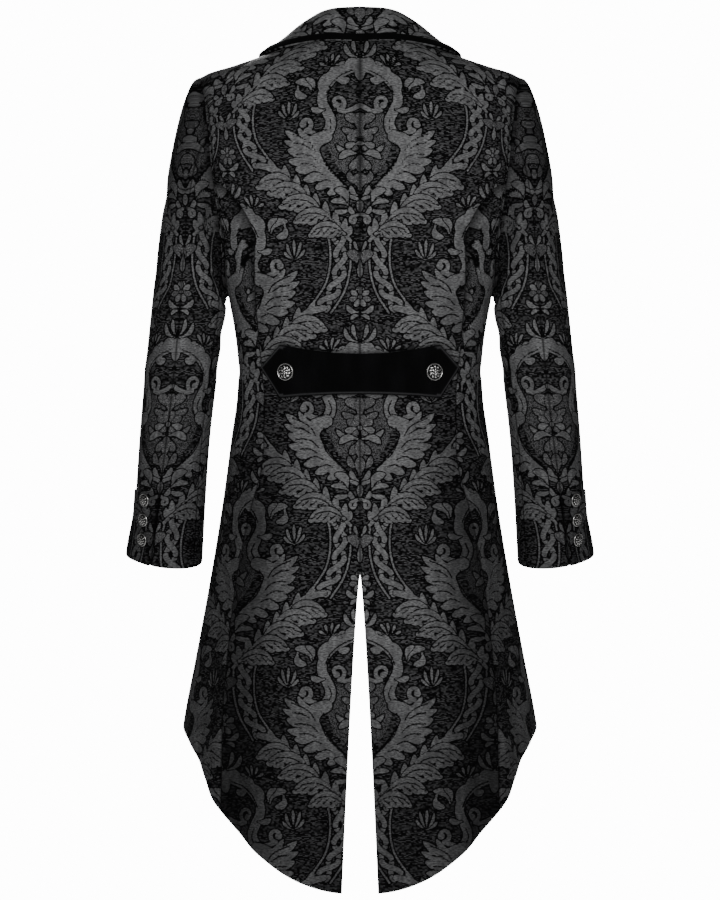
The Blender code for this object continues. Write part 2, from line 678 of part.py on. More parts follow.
def main():
    """Builds every piece of the coat."""
    clear_scene()
    coat = bpy.data.collections.new("Tailcoat")
    bpy.context.scene.collection.children.link(coat)
    damask = material("Damask", DAMASK_COLOUR, 0.75)
    velvet = material("Velvet", VELVET_COLOUR, 0.95)
    metal = material("Antique metal", METAL_COLOUR, 0.35, 1.0)

    for side, mirrored in (("left", False), ("right", True)):
        lapped = side == "left"
        cloth(f"back_{side}", back_panel(), CLOTH, damask, coat, mirrored)
        cloth(f"side_{side}", side_panel(), CLOTH, damask, coat, mirrored)
        cloth(f"front_{side}", front_panel(lapped), CLOTH, damask, coat, mirrored)
        cloth(f"lapel_{side}", lapel(lapped), CLOTH, damask, coat, mirrored)
        upper = sleeve_panel(10, hind_seam, lambda along: inner_seam(along) + 360.0)
        cloth(f"upper_sleeve_{side}", upper, CLOTH, damask, coat, mirrored)
        under = sleeve_panel(3, inner_seam, hind_seam)
        cloth(f"under_sleeve_{side}", under, CLOTH, damask, coat, mirrored)
        cloth(f"cuff_strip_{side}", cuff_strip(), VELVET, damask, coat, mirrored)
        for index, along in enumerate(CUFF_BUTTONS, start=1):
            height = cuff_strip_out(CUFF_BUTTON_ANGLE, along) + BUTTON_REST
            base = sleeve_point(CUFF_BUTTON_ANGLE, along, height)
            outward = sleeve_point(CUFF_BUTTON_ANGLE, along, height + 0.01) - base
            button(
                f"cuff_button_{side}_{index}",
                CUFF_BUTTON,
                mirror_x(base, mirrored),
                mirror_x(outward, mirrored),
                metal,
                coat,
            )
        at = u_of_x(BELT_BUTTON_X, BELT_BUTTON_DROP)
        base = form(at, BELT_BUTTON_DROP, BELT + BELT_REST + BUTTON_REST)
        outward = base - form(at, BELT_BUTTON_DROP)
        button(
            f"belt_button_{side}",
            BELT_BUTTON,
            mirror_x(base, mirrored),
            mirror_x(outward, mirrored),
            metal,
            coat,
        )

    cloth("collar", collar(), CLOTH, damask, coat)
    cloth("collar_band", collar_band(), VELVET, velvet, coat)
    cloth("half_belt", half_belt(), BELT, velvet, coat)
    for index, drop in enumerate(FRONT_BUTTONS, start=1):
        base = form(1.0, drop, CLOTH + REST + 2 * BUTTON_REST)
        outward = base - form(1.0, drop)
        button(f"front_button_{index}", FRONT_BUTTON, base, outward, metal, coat)


main()
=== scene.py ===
"""Gothic damask tailcoat in its worn form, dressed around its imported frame.

Metres, +Z up, the front faces -Y, the wearer's left is at +X and the camera looks at the back. Each cloth
piece is a thin shell on the form of its CAD solid: a fine outer sheet that carries the woven pattern, a
coarser lining sheet, and a rim that joins them.
"""

from __future__ import annotations

import logging
from dataclasses import dataclass, field
from enum import Enum
from typing import Callable, ClassVar, Iterator, NamedTuple, Sequence

import bmesh
import bpy
import numpy as np
from mathutils import Matrix, Vector


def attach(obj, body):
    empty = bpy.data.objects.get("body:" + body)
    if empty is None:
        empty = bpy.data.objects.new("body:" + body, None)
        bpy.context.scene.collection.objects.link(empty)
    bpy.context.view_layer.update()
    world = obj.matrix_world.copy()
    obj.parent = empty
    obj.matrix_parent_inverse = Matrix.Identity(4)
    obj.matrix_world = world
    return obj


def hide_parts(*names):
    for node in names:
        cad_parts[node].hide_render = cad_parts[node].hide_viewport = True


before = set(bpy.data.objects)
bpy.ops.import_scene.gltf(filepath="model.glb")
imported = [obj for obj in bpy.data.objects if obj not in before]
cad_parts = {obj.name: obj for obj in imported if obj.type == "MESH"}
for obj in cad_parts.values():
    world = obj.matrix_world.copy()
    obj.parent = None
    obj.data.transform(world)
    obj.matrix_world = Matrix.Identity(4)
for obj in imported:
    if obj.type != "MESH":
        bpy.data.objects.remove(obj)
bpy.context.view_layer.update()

Array = np.ndarray
Point = tuple[float, float]
Point3 = tuple[float, float, float]
Colour = tuple[float, float, float, float]
Cells = tuple[int, int]
Seam = Callable[[Array], Array]
Inputs = dict[str | int, object]
Socket = bpy.types.NodeSocket
Material = bpy.types.Material
LOG = logging.getLogger("tailcoat")
SIDES = (("left", False), ("right", True))
MM = 1000.0

# ---- tables of the coat's form


def table(kind: type, *rows: Sequence) -> tuple:
    """The rows of a table, each made into the kind that names its columns."""
    return tuple(kind(*row) for row in rows)


class Ring(NamedTuple):
    """A ring of the body form: its drop from the neck, its heights, half widths and fullness."""

    drop: float
    z_back: float
    z_side: float
    z_front: float
    half_width: float
    y_back: float
    y_side: float
    y_front: float
    fullness: float


class Knot(NamedTuple):
    """A value at a place along a seam or an edge."""

    at: float
    value: float


class Fold(NamedTuple):
    """A soft ridge (+) or trough (-) that runs down the skirts and grows from its top to the hem."""

    u_top: float
    u_hem: float
    width: float
    depth: float
    top: float


class Section(NamedTuple):
    """A section of the sleeve, from the armhole to the cuff."""

    along: float
    outer_x: float
    outer_z: float
    inner_x: float
    inner_z: float
    half_depth: float
    y: float
    back_drop: float


class CollarRow(NamedTuple):
    """The collar at a place round the neck: its fold, and where the fall's edge rests on the body form."""

    u: float
    fold_x: float
    fold_y: float
    fold_z: float
    edge_u: float
    edge_v: float


class BeltRow(NamedTuple):
    """The half-belt at a distance from the centre back: half its height, and its middle line."""

    x: float
    half_height: float
    middle: float


class Crease(NamedTuple):
    """A soft trough (-) or ridge (+) along a short line, in a piece's own two coordinates."""

    from_a: float
    from_b: float
    to_a: float
    to_b: float
    width: float
    depth: float


class PaintedShade(NamedTuple):
    """A painted shade on the cloth: its share, and where it sets in across a sheet and down it."""

    share: float
    across: Point
    down: Point


# Sets in before any place on a sheet, so that a painted shade holds all over that way.
ALWAYS = (-2000.0, -1000.0)
# The rings are level from the waist down.
RINGS = table(
    Ring,
    (0.000, 0.036, 0.017, -0.066, 0.085, 0.060, 0.004, -0.078, 2.00),
    (0.020, 0.018, 0.0015, -0.082, 0.132, 0.079, 0.002, -0.097, 2.10),
    (0.040, -0.003, -0.0118, -0.100, 0.174, 0.096, 0.000, -0.110, 2.20),
    (0.060, -0.026, -0.0225, -0.118, 0.208, 0.108, -0.002, -0.119, 2.40),
    (0.090, -0.062, -0.052, -0.140, 0.2115, 0.118, -0.002, -0.126, 2.50),
    (0.150, -0.138, -0.130, -0.183, 0.2100, 0.128, -0.001, -0.133, 2.50),
    (0.220, -0.215, -0.212, -0.233, 0.1990, 0.127, 0.000, -0.137, 2.45),
    (0.280, -0.279, -0.278, -0.284, 0.1845, 0.119, 0.000, -0.135, 2.35),
    *((drop, -drop, -drop, -drop, width, back, 0.0, front, full) for drop, width, back, front, full in (
        (0.340, 0.1700, 0.108, -0.128, 2.25), (0.410, 0.1620, 0.098, -0.118, 2.20),
        (0.450, 0.1635, 0.099, -0.118, 2.20), (0.500, 0.1705, 0.108, -0.123, 2.20),
        (0.580, 0.1812, 0.124, -0.132, 2.20), (0.700, 0.2002, 0.137, -0.142, 2.15),
        (0.800, 0.2175, 0.146, -0.150, 2.10), (0.870, 0.2300, 0.151, -0.155, 2.10),
        (1.120, 0.2450, 0.162, -0.165, 2.10),
    )),
)
# The hem's drop at u round the body.
HEM = table(
    Knot,
    (0.00, 1.0915), (0.05, 1.0880), (0.10, 1.0765), (0.15, 1.0560), (0.20, 1.0310), (0.25, 0.9985),
    (0.30, 0.9620), (0.40, 0.9080), (0.50, 0.8740), (0.60, 0.8190), (0.70, 0.7430), (0.80, 0.6560),
    (0.90, 0.5640), (0.96, 0.5080), (1.02, 0.4780),
)
# The side-back seam's distance from the centre plane at a drop.
SIDE_BACK_SEAM = table(
    Knot,
    (0.240, 0.1370), (0.285, 0.1385), (0.350, 0.1360), (0.410, 0.1295), (0.480, 0.1255),
    (0.540, 0.1285), (0.600, 0.1440), (0.700, 0.1630), (0.820, 0.1730), (1.000, 0.1800),
)
# The side-front seam's u at a drop.
SIDE_FRONT_SEAM = table(
    Knot, (0.240, 0.602), (0.300, 0.592), (0.410, 0.600), (0.550, 0.590), (0.850, 0.580)
)
FOLDS = table(
    Fold,
    (0.262, 0.290, 0.026, 0.0070, 0.50), (0.205, 0.225, 0.024, -0.0050, 0.56),
    (0.345, 0.372, 0.030, -0.0045, 0.54), (0.120, 0.135, 0.030, 0.0035, 0.66),
    (0.455, 0.470, 0.034, 0.0040, 0.58),
)
SLEEVE = table(
    Section,
    (0.00, 0.2085, -0.0230, 0.1808, -0.2990, 0.0600, 0.000, 0.000),
    (0.08, 0.2225, -0.0320, 0.1812, -0.3030, 0.0625, 0.000, 0.000),
    (0.16, 0.2380, -0.0700, 0.1806, -0.3065, 0.0648, 0.000, 0.000),
    (0.25, 0.2525, -0.1350, 0.1796, -0.3105, 0.0665, 0.001, 0.000),
    (0.34, 0.2620, -0.2000, 0.1784, -0.3155, 0.0672, 0.002, 0.000),
    (0.42, 0.2695, -0.2600, 0.1772, -0.3220, 0.0667, 0.003, 0.000),
    (0.51, 0.2768, -0.3280, 0.1790, -0.3420, 0.0650, 0.003, 0.000),
    (0.63, 0.2858, -0.4150, 0.1890, -0.4150, 0.0620, 0.000, 0.000),
    (0.75, 0.2933, -0.4960, 0.1993, -0.4980, 0.0580, -0.010, 0.001),
    (0.88, 0.3000, -0.5830, 0.2063, -0.5850, 0.0540, -0.026, 0.004),
    (1.00, 0.3060, -0.6590, 0.2115, -0.6690, 0.0515, -0.044, 0.012),
)
# Angles of the sleeve's two seams down it, 0 at the back and 90 at the outer side.
HIND_SEAM = table(Knot, (0.00, 22.0), (0.35, 14.0), (0.75, 10.0), (1.00, 26.0))
INNER_SEAM = table(Knot, (0.00, -62.0), (0.35, -58.0), (0.75, -54.0), (1.00, -52.0))
COLLAR = table(
    CollarRow,
    (0.00, 0.000, 0.057, 0.0648, 0.000, 0.0238), (0.16, 0.036, 0.049, 0.0633, 0.140, 0.0205),
    (0.32, 0.058, 0.026, 0.0570, 0.300, 0.0215), (0.48, 0.067, -0.006, 0.0425, 0.490, 0.0200),
    (0.62, 0.069, -0.038, 0.0150, 0.620, 0.0245), (0.74, 0.063, -0.068, -0.0190, 0.736, 0.0310),
)
HALF_BELT = table(
    BeltRow,
    (0.000, 0.0262, -0.4195), (0.035, 0.0272, -0.4190), (0.075, 0.0308, -0.4172),
    (0.1038, 0.0350, -0.4156), (0.1285, 0.0010, -0.4098),
)
# On the body: u round it and v down it.
BODY_CREASES = table(
    Crease,
    (0.330, 0.150, 0.300, 0.235, 0.012, -0.0022), (0.020, 0.398, 0.120, 0.386, 0.006, 0.0010),
    (0.060, 0.470, 0.150, 0.462, 0.009, -0.0012), (0.240, 0.330, 0.330, 0.372, 0.010, -0.0016),
    (0.260, 0.440, 0.360, 0.452, 0.010, -0.0016), (0.230, 0.480, 0.330, 0.520, 0.011, 0.0016),
    (0.420, 0.400, 0.520, 0.418, 0.010, -0.0020), (0.700, 0.330, 0.860, 0.372, 0.012, -0.0020),
    (0.720, 0.430, 0.900, 0.418, 0.012, -0.0022), (0.760, 0.180, 0.690, 0.300, 0.014, -0.0022),
    (0.660, 0.560, 0.720, 0.690, 0.016, 0.0030), (0.420, 0.290, 0.580, 0.290, 0.024, 0.0060),
)
# On the sleeve: degrees round it and the share of its length.
SLEEVE_CREASES = table(
    Crease,
    (-50.0, 0.30, 20.0, 0.34, 0.011, -0.0026), (-56.0, 0.40, 0.0, 0.44, 0.012, -0.0024),
    (-40.0, 0.52, 30.0, 0.55, 0.012, -0.0026), (10.0, 0.47, 80.0, 0.45, 0.013, -0.0022),
    (-45.0, 0.63, 15.0, 0.60, 0.012, -0.0024), (20.0, 0.60, 85.0, 0.63, 0.014, 0.0020),
    (-40.0, 0.74, 10.0, 0.77, 0.012, -0.0020), (60.0, 0.33, 110.0, 0.30, 0.014, -0.0020),
    (190.0, 0.52, 280.0, 0.56, 0.015, -0.0036), (170.0, 0.60, 270.0, 0.62, 0.015, -0.0034),
    (200.0, 0.42, 285.0, 0.44, 0.014, -0.0026), (250.0, 0.286, 290.0, 0.298, 0.030, 0.0068),
)
# Painted shade on a back panel: darker down its outer tail, at its outer waist and at its hem.
BACK_PAINTED_SHADE = table(
    PaintedShade,
    (0.62, (0.30, 0.90), (0.46, 0.64)), (0.28, (0.50, 1.00), (0.26, 0.36)), (0.40, ALWAYS, (0.74, 1.0))
)
# Painted shade on a side body, darker down its skirt, and on a sleeve below its elbow.
SIDE_PAINTED_SHADE = table(PaintedShade, (0.48, ALWAYS, (0.40, 0.60)))
SLEEVE_PAINTED_SHADE = table(PaintedShade, (0.14, ALWAYS, (0.62, 0.85)))

# ---- reading tables and curves


def through(knots: Array, values: Array, at: Array) -> Array:
    """Reads a smooth curve through stacked values.

    Args:
        knots: Places of the values, rising.
        values: The values, stacked along the first axis.
        at: Places to read.

    Returns:
        The curve there. Its shape is at's, followed by that of one value where values has one more axis.
    """
    slopes = np.gradient(values, knots, axis=0)
    i = np.clip(np.searchsorted(knots, at, side="right") - 1, 0, len(knots) - 2)
    step = knots[i + 1] - knots[i]
    t = np.clip((at - knots[i]) / step, 0.0, 1.0)

    def pick(rows: Array, index: Array) -> Array:
        """Takes one row for each place.

        Args:
            rows: The rows.
            index: Which row each place takes.

        Returns:
            The rows taken.
        """
        if rows.ndim == 1:
            return rows[index]
        spread = np.broadcast_to(index[None, ..., None], (1, *rows.shape[1:]))
        return np.take_along_axis(rows, spread, axis=0)[0]

    if values.ndim > 1:
        t, step = t[..., None], step[..., None]
    return (
        (2 * t**3 - 3 * t**2 + 1) * pick(values, i)
        + (t**3 - 2 * t**2 + t) * step * pick(slopes, i)
        + (3 * t**2 - 2 * t**3) * pick(values, i + 1)
        + (t**3 - t**2) * step * pick(slopes, i + 1)
    )


def smooth(rows: Sequence[NamedTuple], at: Array | float, column: str = "value") -> Array:
    """One column of a table, read along its first column as a smooth curve through its rows."""
    knots = np.array([row[0] for row in rows])
    return through(knots, np.array([getattr(row, column) for row in rows]), np.asarray(at, float))


def straight(rows: Sequence[NamedTuple], at: Array, column: str, **beyond: float) -> Array:
    """One column of a table, read along its first column in straight lines between its rows."""
    return np.interp(at, [row[0] for row in rows], [getattr(row, column) for row in rows], **beyond)


def ease(x: Array | float, low: float, high: float) -> Array:
    """A smooth step from 0 at low to 1 at high."""
    t = np.clip((np.asarray(x, float) - low) / (high - low), 0.0, 1.0)
    return t * t * (3 - 2 * t)


def bell(x: Array, width: float) -> Array:
    """A soft bump: 1 where x is 0, and gone at about twice the width."""
    return np.exp(-((x / width) ** 2))


def unit(vectors: Array) -> Array:
    """Vectors brought to length 1."""
    return vectors / np.maximum(np.linalg.norm(vectors, axis=-1, keepdims=True), 1e-12)


def grid(cells: Cells, across: Point = (0.0, 1.0), down: Point = (0.0, 1.0)) -> list[Array]:
    """Even places over a sheet of so many cells, first across it and then down it."""
    s, t = (np.linspace(*ends, count + 1) for ends, count in zip((across, down), cells))
    return np.broadcast_arrays(s[:, None], t[None, :])


def lit(dusk: Sequence[PaintedShade], a: Array, b: Array) -> Array:
    """How lit a sheet still is at each place, from 0 to 1, under all its painted shades.

    Args:
        dusk: The painted shades.
        a: Place across the sheet.
        b: Place down it.

    Returns:
        The light left.
    """
    out = np.ones(np.broadcast(a, b).shape)
    for row in dusk:
        out = out * (1 - row.share * ease(a, *row.across) * ease(b, *row.down))
    return out


def crease_relief(creases: Sequence[Crease], a: Array, b: Array, scale: Point) -> Array:
    """Adds up soft creases.

    Args:
        creases: Their lines, widths and depths.
        a: First coordinate of each place.
        b: Second coordinate.
        scale: Metres to one unit of each coordinate.

    Returns:
        How far each place moves out.
    """
    out = np.zeros(np.broadcast(a, b).shape)
    for crease in creases:
        start = np.array([crease.from_a * scale[0], crease.from_b * scale[1]])
        line = np.array([crease.to_a * scale[0], crease.to_b * scale[1]]) - start
        x, y = a * scale[0] - start[0], b * scale[1] - start[1]
        t = np.clip((x * line[0] + y * line[1]) / (line @ line), 0.0, 1.0)
        fade = 1 - 0.6 * np.abs(2 * t - 1) ** 2
        out = out + crease.depth * fade * bell(np.hypot(x - line[0] * t, y - line[1] * t), crease.width)
    return out


# ---- forms


class Form:
    """A hollow surface that sheets lie on, with one coordinate round it and one down it."""

    nudge: ClassVar[Point] = (1e-3, 1e-3)
    low: ClassVar[Point] = (-np.inf, 0.0)
    high: ClassVar[Point] = (np.inf, 1.0)

    def bare(self, a: Array, b: Array) -> Array:
        """A point of the smooth form."""
        raise NotImplementedError

    def fold(self, a: Array, b: Array) -> Array:
        """How far soft folds move the cloth out: nowhere, unless the form has some."""
        return np.zeros(np.broadcast(a, b).shape)

    def place(self, a: Array, b: Array, out: Array | float = 0.0) -> Array:
        """A point of the coat's outer face, or one that stands off it.

        Args:
            a: Place round the form.
            b: Place down it.
            out: Distance off the face.

        Returns:
            Points.
        """
        a, b = np.broadcast_arrays(np.asarray(a, float), np.asarray(b, float))
        (da, db), (a0, b0), (a1, b1) = self.nudge, self.low, self.high
        round_ = self.bare(np.minimum(a + da, a1), b) - self.bare(np.maximum(a - da, a0), b)
        down = self.bare(a, np.minimum(b + db, b1)) - self.bare(a, np.maximum(b - db, b0))
        return self.bare(a, b) + unit(np.cross(round_, down)) * (self.fold(a, b) + out)[..., None]


@dataclass(frozen=True)
class BodyForm(Form):
    """The hollow body that every panel is a patch of. u goes round the wearer's left half, v is the drop."""

    nudge = (1e-4, 1e-4)
    high = (np.inf, np.inf)
    shoulder_drop: float = 0.060
    underarm_drop: float = 0.300
    armhole_reach: float = 0.118
    side_back_turn: float = 0.248
    side_back_start: float = 0.0
    side_front_start: float = -150.0
    vent_top: float = 0.680
    vent_at_hem: float = 0.0236
    break_drop: float = 0.345
    break_start: float = 0.74
    overlap: float = 0.014
    overlap_run: float = 0.06
    half_round: float = 0.52
    fold_full: float = 0.95
    fold_foot: float = 1.1
    hem_guess: float = 0.9
    hem_rounds: int = 40
    top_fade: float = 0.30

    @property
    def armhole_middle(self) -> float:
        """Drop of the armhole's middle."""
        return (self.underarm_drop + self.shoulder_drop) / 2

    @property
    def armhole_rise(self) -> float:
        """Half the armhole's height."""
        return (self.underarm_drop - self.shoulder_drop) / 2

    def bare(self, u: Array, v: Array) -> Array:
        """A point of the smooth body form.

        Args:
            u: Place round the body, 0 at the centre back, 1 at the centre front.
            v: Drop from the neck.

        Returns:
            Points.
        """
        u, v = np.broadcast_arrays(np.asarray(u, float), np.asarray(v, float))
        ring = {name: smooth(RINGS, v, name) for name in Ring._fields[1:]}
        sine, cosine = np.sin(np.pi * u), np.cos(np.pi * u)
        power = 2.0 / ring["fullness"]
        across = np.abs(sine) ** power * np.sign(sine)
        along = np.abs(cosine) ** power
        y_end = np.where(cosine > 0, ring["y_back"], ring["y_front"])
        z_end = np.where(cosine > 0, ring["z_back"], ring["z_front"])
        y = ring["y_side"] + (y_end - ring["y_side"]) * along
        z = ring["z_side"] + (z_end - ring["z_side"]) * along**2
        return np.stack([ring["half_width"] * across, y, z], -1)

    def fold(self, u: Array, v: Array) -> Array:
        """How far the skirt's folds move the cloth out at u, v.

        Args:
            u: Place round the body.
            v: Drop from the neck.

        Returns:
            The distance.
        """
        out = super().fold(u, v)
        for fold in FOLDS:
            centre = fold.u_top + (fold.u_hem - fold.u_top) * (v - fold.top) / (self.fold_foot - fold.top)
            out = out + fold.depth * ease(v, fold.top, self.fold_full) * bell(u - centre, fold.width)
        return out

    def u_of_x(self, x: Array, v: Array, front: bool = False) -> Array:
        """u of the back half, or of the front, that is this far from the centre plane at drop v."""
        share = np.clip(np.asarray(x, float) / smooth(RINGS, v, "half_width"), 0.0, 1.0)
        u = np.arcsin(share ** (smooth(RINGS, v, "fullness") / 2.0)) / np.pi
        return 1.0 - u if front else u

    def armhole(self, angle: Array) -> tuple[Array, Array]:
        """(u, v) on the armhole: 90 degrees at the shoulder, 0 at the back, -90 under the arm."""
        turn = np.radians(angle)
        return 0.5 - self.armhole_reach * np.cos(turn), self.armhole_middle - self.armhole_rise * np.sin(turn)

    def armhole_half(self, v: Array) -> Array:
        """Half the armhole's width, in u, at drop v."""
        share = (v - self.armhole_middle) / self.armhole_rise
        return self.armhole_reach * np.sqrt(np.clip(1 - share**2, 0.0, 1.0))

    def centre_back(self, v: Array) -> Array:
        """u of the centre back seam at drop v, and below it of the edge of the vent."""
        share = np.clip((v - self.vent_top) / (HEM[0].value - self.vent_top), 0.0, 1.0)
        return self.u_of_x(self.vent_at_hem * share**0.75, v)

    def side_back(self, v: Array) -> Array:
        """u of the seam that leaves the armhole level, curves round and runs down the side of the back.

        Args:
            v: Drop from the neck.

        Returns:
            The seam's u.
        """
        u_start, v_start = self.armhole(self.side_back_start)
        turn = self.side_back_turn
        u_turn = self.u_of_x(smooth(SIDE_BACK_SEAM, turn), turn)
        rise = np.clip((turn - v) / (turn - v_start), 0.0, 1.0)
        arc = u_start - (u_start - u_turn) * np.sqrt(1 - rise**2)
        return np.where(v < turn, arc, self.u_of_x(smooth(SIDE_BACK_SEAM, v), v))

    def side_front(self, v: Array) -> Array:
        """u of the seam between the side body and the front at drop v."""
        return smooth(SIDE_FRONT_SEAM, v)

    def back_outer(self, v: Array) -> Array:
        """u of the back panel's outer edge: shoulder seam, armhole, then the side-back seam."""
        start = self.armhole(self.side_back_start)[1]
        return np.where(v < start, 0.5 - self.armhole_half(v), self.side_back(v))

    def front_outer(self, v: Array) -> Array:
        """u of the front's side edge: shoulder seam, armhole, then the side-front seam."""
        start = self.armhole(self.side_front_start)[1]
        return np.where(v < start, 0.5 + self.armhole_half(v), self.side_front(v))

    def front_inner(self, v: Array) -> Array:
        """u of the front's free edge: the neckline to the top button, then the lap past the centre."""
        x = self.bare(self.break_start, 0.0)[0] * np.clip(1 - v / self.break_drop, 0.0, 1.0)
        lap = self.overlap * ease(v, self.break_drop - self.overlap_run, self.break_drop)
        return self.u_of_x(x, v, front=True) + lap

    def patch(self, cells: Cells, left: Seam, right: Seam, top: Callable) -> tuple[Array, Array]:
        """A grid of places between two seams, from a top edge to the hem.

        Args:
            cells: Columns and rows of cells.
            left: u of the left seam at a drop.
            right: u of the right seam at a drop.
            top: (u, v) of the top edge at a share across.

        Returns:
            u and v of each place.
        """
        s, t = np.linspace(0.0, 1.0, cells[0] + 1), np.linspace(0.0, 1.0, cells[1] + 1)[None, :]
        u_top, v_top = top(s)
        shift = u_top - (left(v_top) * (1 - s) + right(v_top) * s)
        v_end = np.full_like(s, self.hem_guess)
        for _ in range(self.hem_rounds):
            v_end = (v_end + smooth(HEM, left(v_end) * (1 - s) + right(v_end) * s)) / 2
        v = v_top[:, None] + (v_end - v_top)[:, None] * t
        share = s[:, None]
        fade = 1 - ease(t, 0.0, self.top_fade)
        return left(v) * (1 - share) + right(v) * share + shift[:, None] * fade, v


@dataclass(frozen=True)
class SleeveForm(Form):
    """The hollow sleeve: an angle round it, 0 at the back, and how far down it, 0 to 1."""

    nudge = (57.3 * 1e-3, 1e-3)
    body: BodyForm
    lap: float = 0.0008
    length: float = 0.650
    per_degree: float = 0.00097
    blend_end: float = 0.30

    def oval(self, angle: Array, row: Section) -> Array:
        """A point of one of the sleeve's sections, at an angle in degrees.

        Args:
            angle: Degrees round the section.
            row: The section.

        Returns:
            Points.
        """
        sine, cosine = np.sin(np.radians(angle)), np.cos(np.radians(angle))
        x = (row.outer_x + row.inner_x) / 2 + (row.outer_x - row.inner_x) / 2 * sine
        z = (row.outer_z + row.inner_z) / 2 + (row.outer_z - row.inner_z) / 2 * sine
        return np.stack([x, row.y + row.half_depth * cosine, z - row.back_drop * cosine], -1)

    def bare(self, angle: Array, along: Array) -> Array:
        """A point of the smooth sleeve. Near the armhole it takes the armhole's own line.

        Args:
            angle: Degrees round the sleeve.
            along: Share of its length.

        Returns:
            Points.
        """
        section = Section(along, *(smooth(SLEEVE, along, name) for name in Section._fields[1:]))
        to_armhole = self.body.place(*self.body.armhole(angle), self.lap) - self.oval(angle, SLEEVE[0])
        blend = (1 - ease(along, 0.0, self.blend_end)) ** 1.5
        return self.oval(angle, section) + to_armhole * blend[..., None]

    def hind(self, along: Array) -> Array:
        """Angle of the seam behind the elbow, which runs into the cuff's vent."""
        return smooth(HIND_SEAM, along)

    def inner(self, along: Array) -> Array:
        """Angle of the seam on the sleeve's inner side."""
        return smooth(INNER_SEAM, along)


@dataclass(frozen=True)
class CollarForm(Form):
    """The turned-down collar: s from -1 to 1 round the neck, t from its seam over the fold to the edge."""

    low = (-1.0, 0.0)
    high = (1.0, 1.0)
    body: BodyForm
    stand_off: float = 0.0044
    neck_lift: float = 0.0012
    fold_half: float = 0.0042
    belly: float = 0.002
    inner_at: float = 0.84
    outer_at: float = 0.13
    belly_at: float = 0.60
    stops: tuple[float, ...] = (0.0, 0.34, 0.42, 0.50, 0.76, 1.0)

    def bare(self, s: Array, t: Array) -> Array:
        """A point of the smooth collar, through its neck seam, its roll and the edge of its fall.

        Args:
            s: Place along it, -1 to 1.
            t: Place from the neck seam to the free edge.

        Returns:
            Points.
        """
        u = np.abs(s) * COLLAR[-1].u
        row = CollarRow(u, *(smooth(COLLAR, u, name) for name in CollarRow._fields[1:]))
        fold = np.stack([row.fold_x, row.fold_y, row.fold_z], -1)
        edge = self.body.place(row.edge_u, row.edge_v, self.stand_off)
        neck = self.body.bare(u, 0.0) + np.array([0.0, 0.0, self.neck_lift])
        away = unit((edge - fold) * np.array([1.0, 1.0, 0.0]))
        inner = neck + (fold - neck) * self.inner_at - away * self.fold_half
        outer = fold + (edge - fold) * self.outer_at + away * self.fold_half
        belly = fold + (edge - fold) * self.belly_at + away * self.belly
        points = through(np.array(self.stops), np.stack([neck, inner, fold, outer, belly, edge]), t)
        return points * np.where(s < 0, -1.0, 1.0)[..., None] ** np.array([1, 0, 0])


# ---- the woven design


class Weave(Enum):
    """How a figure of the damask is woven."""

    SATIN = "satin"
    TWILL = "twill"
    SPECKLE = "speckle"


FIELDS = ("satin_a", "satin_b", "twill", "speckle")


class Lobe(NamedTuple):
    """A leaf lobe, in millimetres from the mirror line and down.

    It bows to one side by bend, a share of its length, and width is half its greatest width, which it has at
    full of its length. It is outlined where it doesn't grow out of what lies under it.
    """

    base: Point
    tip: Point
    bend: float
    width: float
    weave: Weave = Weave.SATIN
    full: float = 0.62
    outlined: bool = True


def smooth_path(points: Sequence[Point], steps: int = 6) -> Array:
    """A smooth curve through points.

    Args:
        points: The points.
        steps: Steps between two points.

    Returns:
        Points of the curve.
    """
    p = np.array(points, float)
    if len(p) == 2:
        return p[0] + (p[1] - p[0]) * np.linspace(0, 1, steps + 1)[:, None]
    ends = np.vstack([2 * p[0] - p[1], p, 2 * p[-1] - p[-2]])
    t = np.linspace(0, 1, steps, endpoint=False)[:, None]
    out = []
    for a, b, c, d in zip(ends, ends[1:], ends[2:], ends[3:]):
        curve = 2 * b + (c - a) * t + (2 * a - 5 * b + 4 * c - d) * t**2 + (3 * b - a - 3 * c + d) * t**3
        out.append(0.5 * curve)
    return np.vstack([*out, p[-1:]])


def run_of(path: Array) -> Array:
    """Distance along a path to each of its points."""
    return np.concatenate([[0], np.cumsum(np.linalg.norm(np.diff(path, axis=0), axis=1))])


def along_path(path: Array, s: Array | float) -> Array:
    """The points that far along a path."""
    run = run_of(path)
    return np.stack([np.interp(s, run, path[:, 0]), np.interp(s, run, path[:, 1])], -1)


def bowed(base: Point, tip: Point, bend: float, t: Array) -> Array:
    """Points at shares t of a line from base to tip that bows to one side by a share of its length."""
    start, along = np.array(base, float), np.array(tip, float) - np.array(base, float)
    return start + along * t[:, None] + np.array([-along[1], along[0]]) * (bend * np.sin(np.pi * t))[:, None]


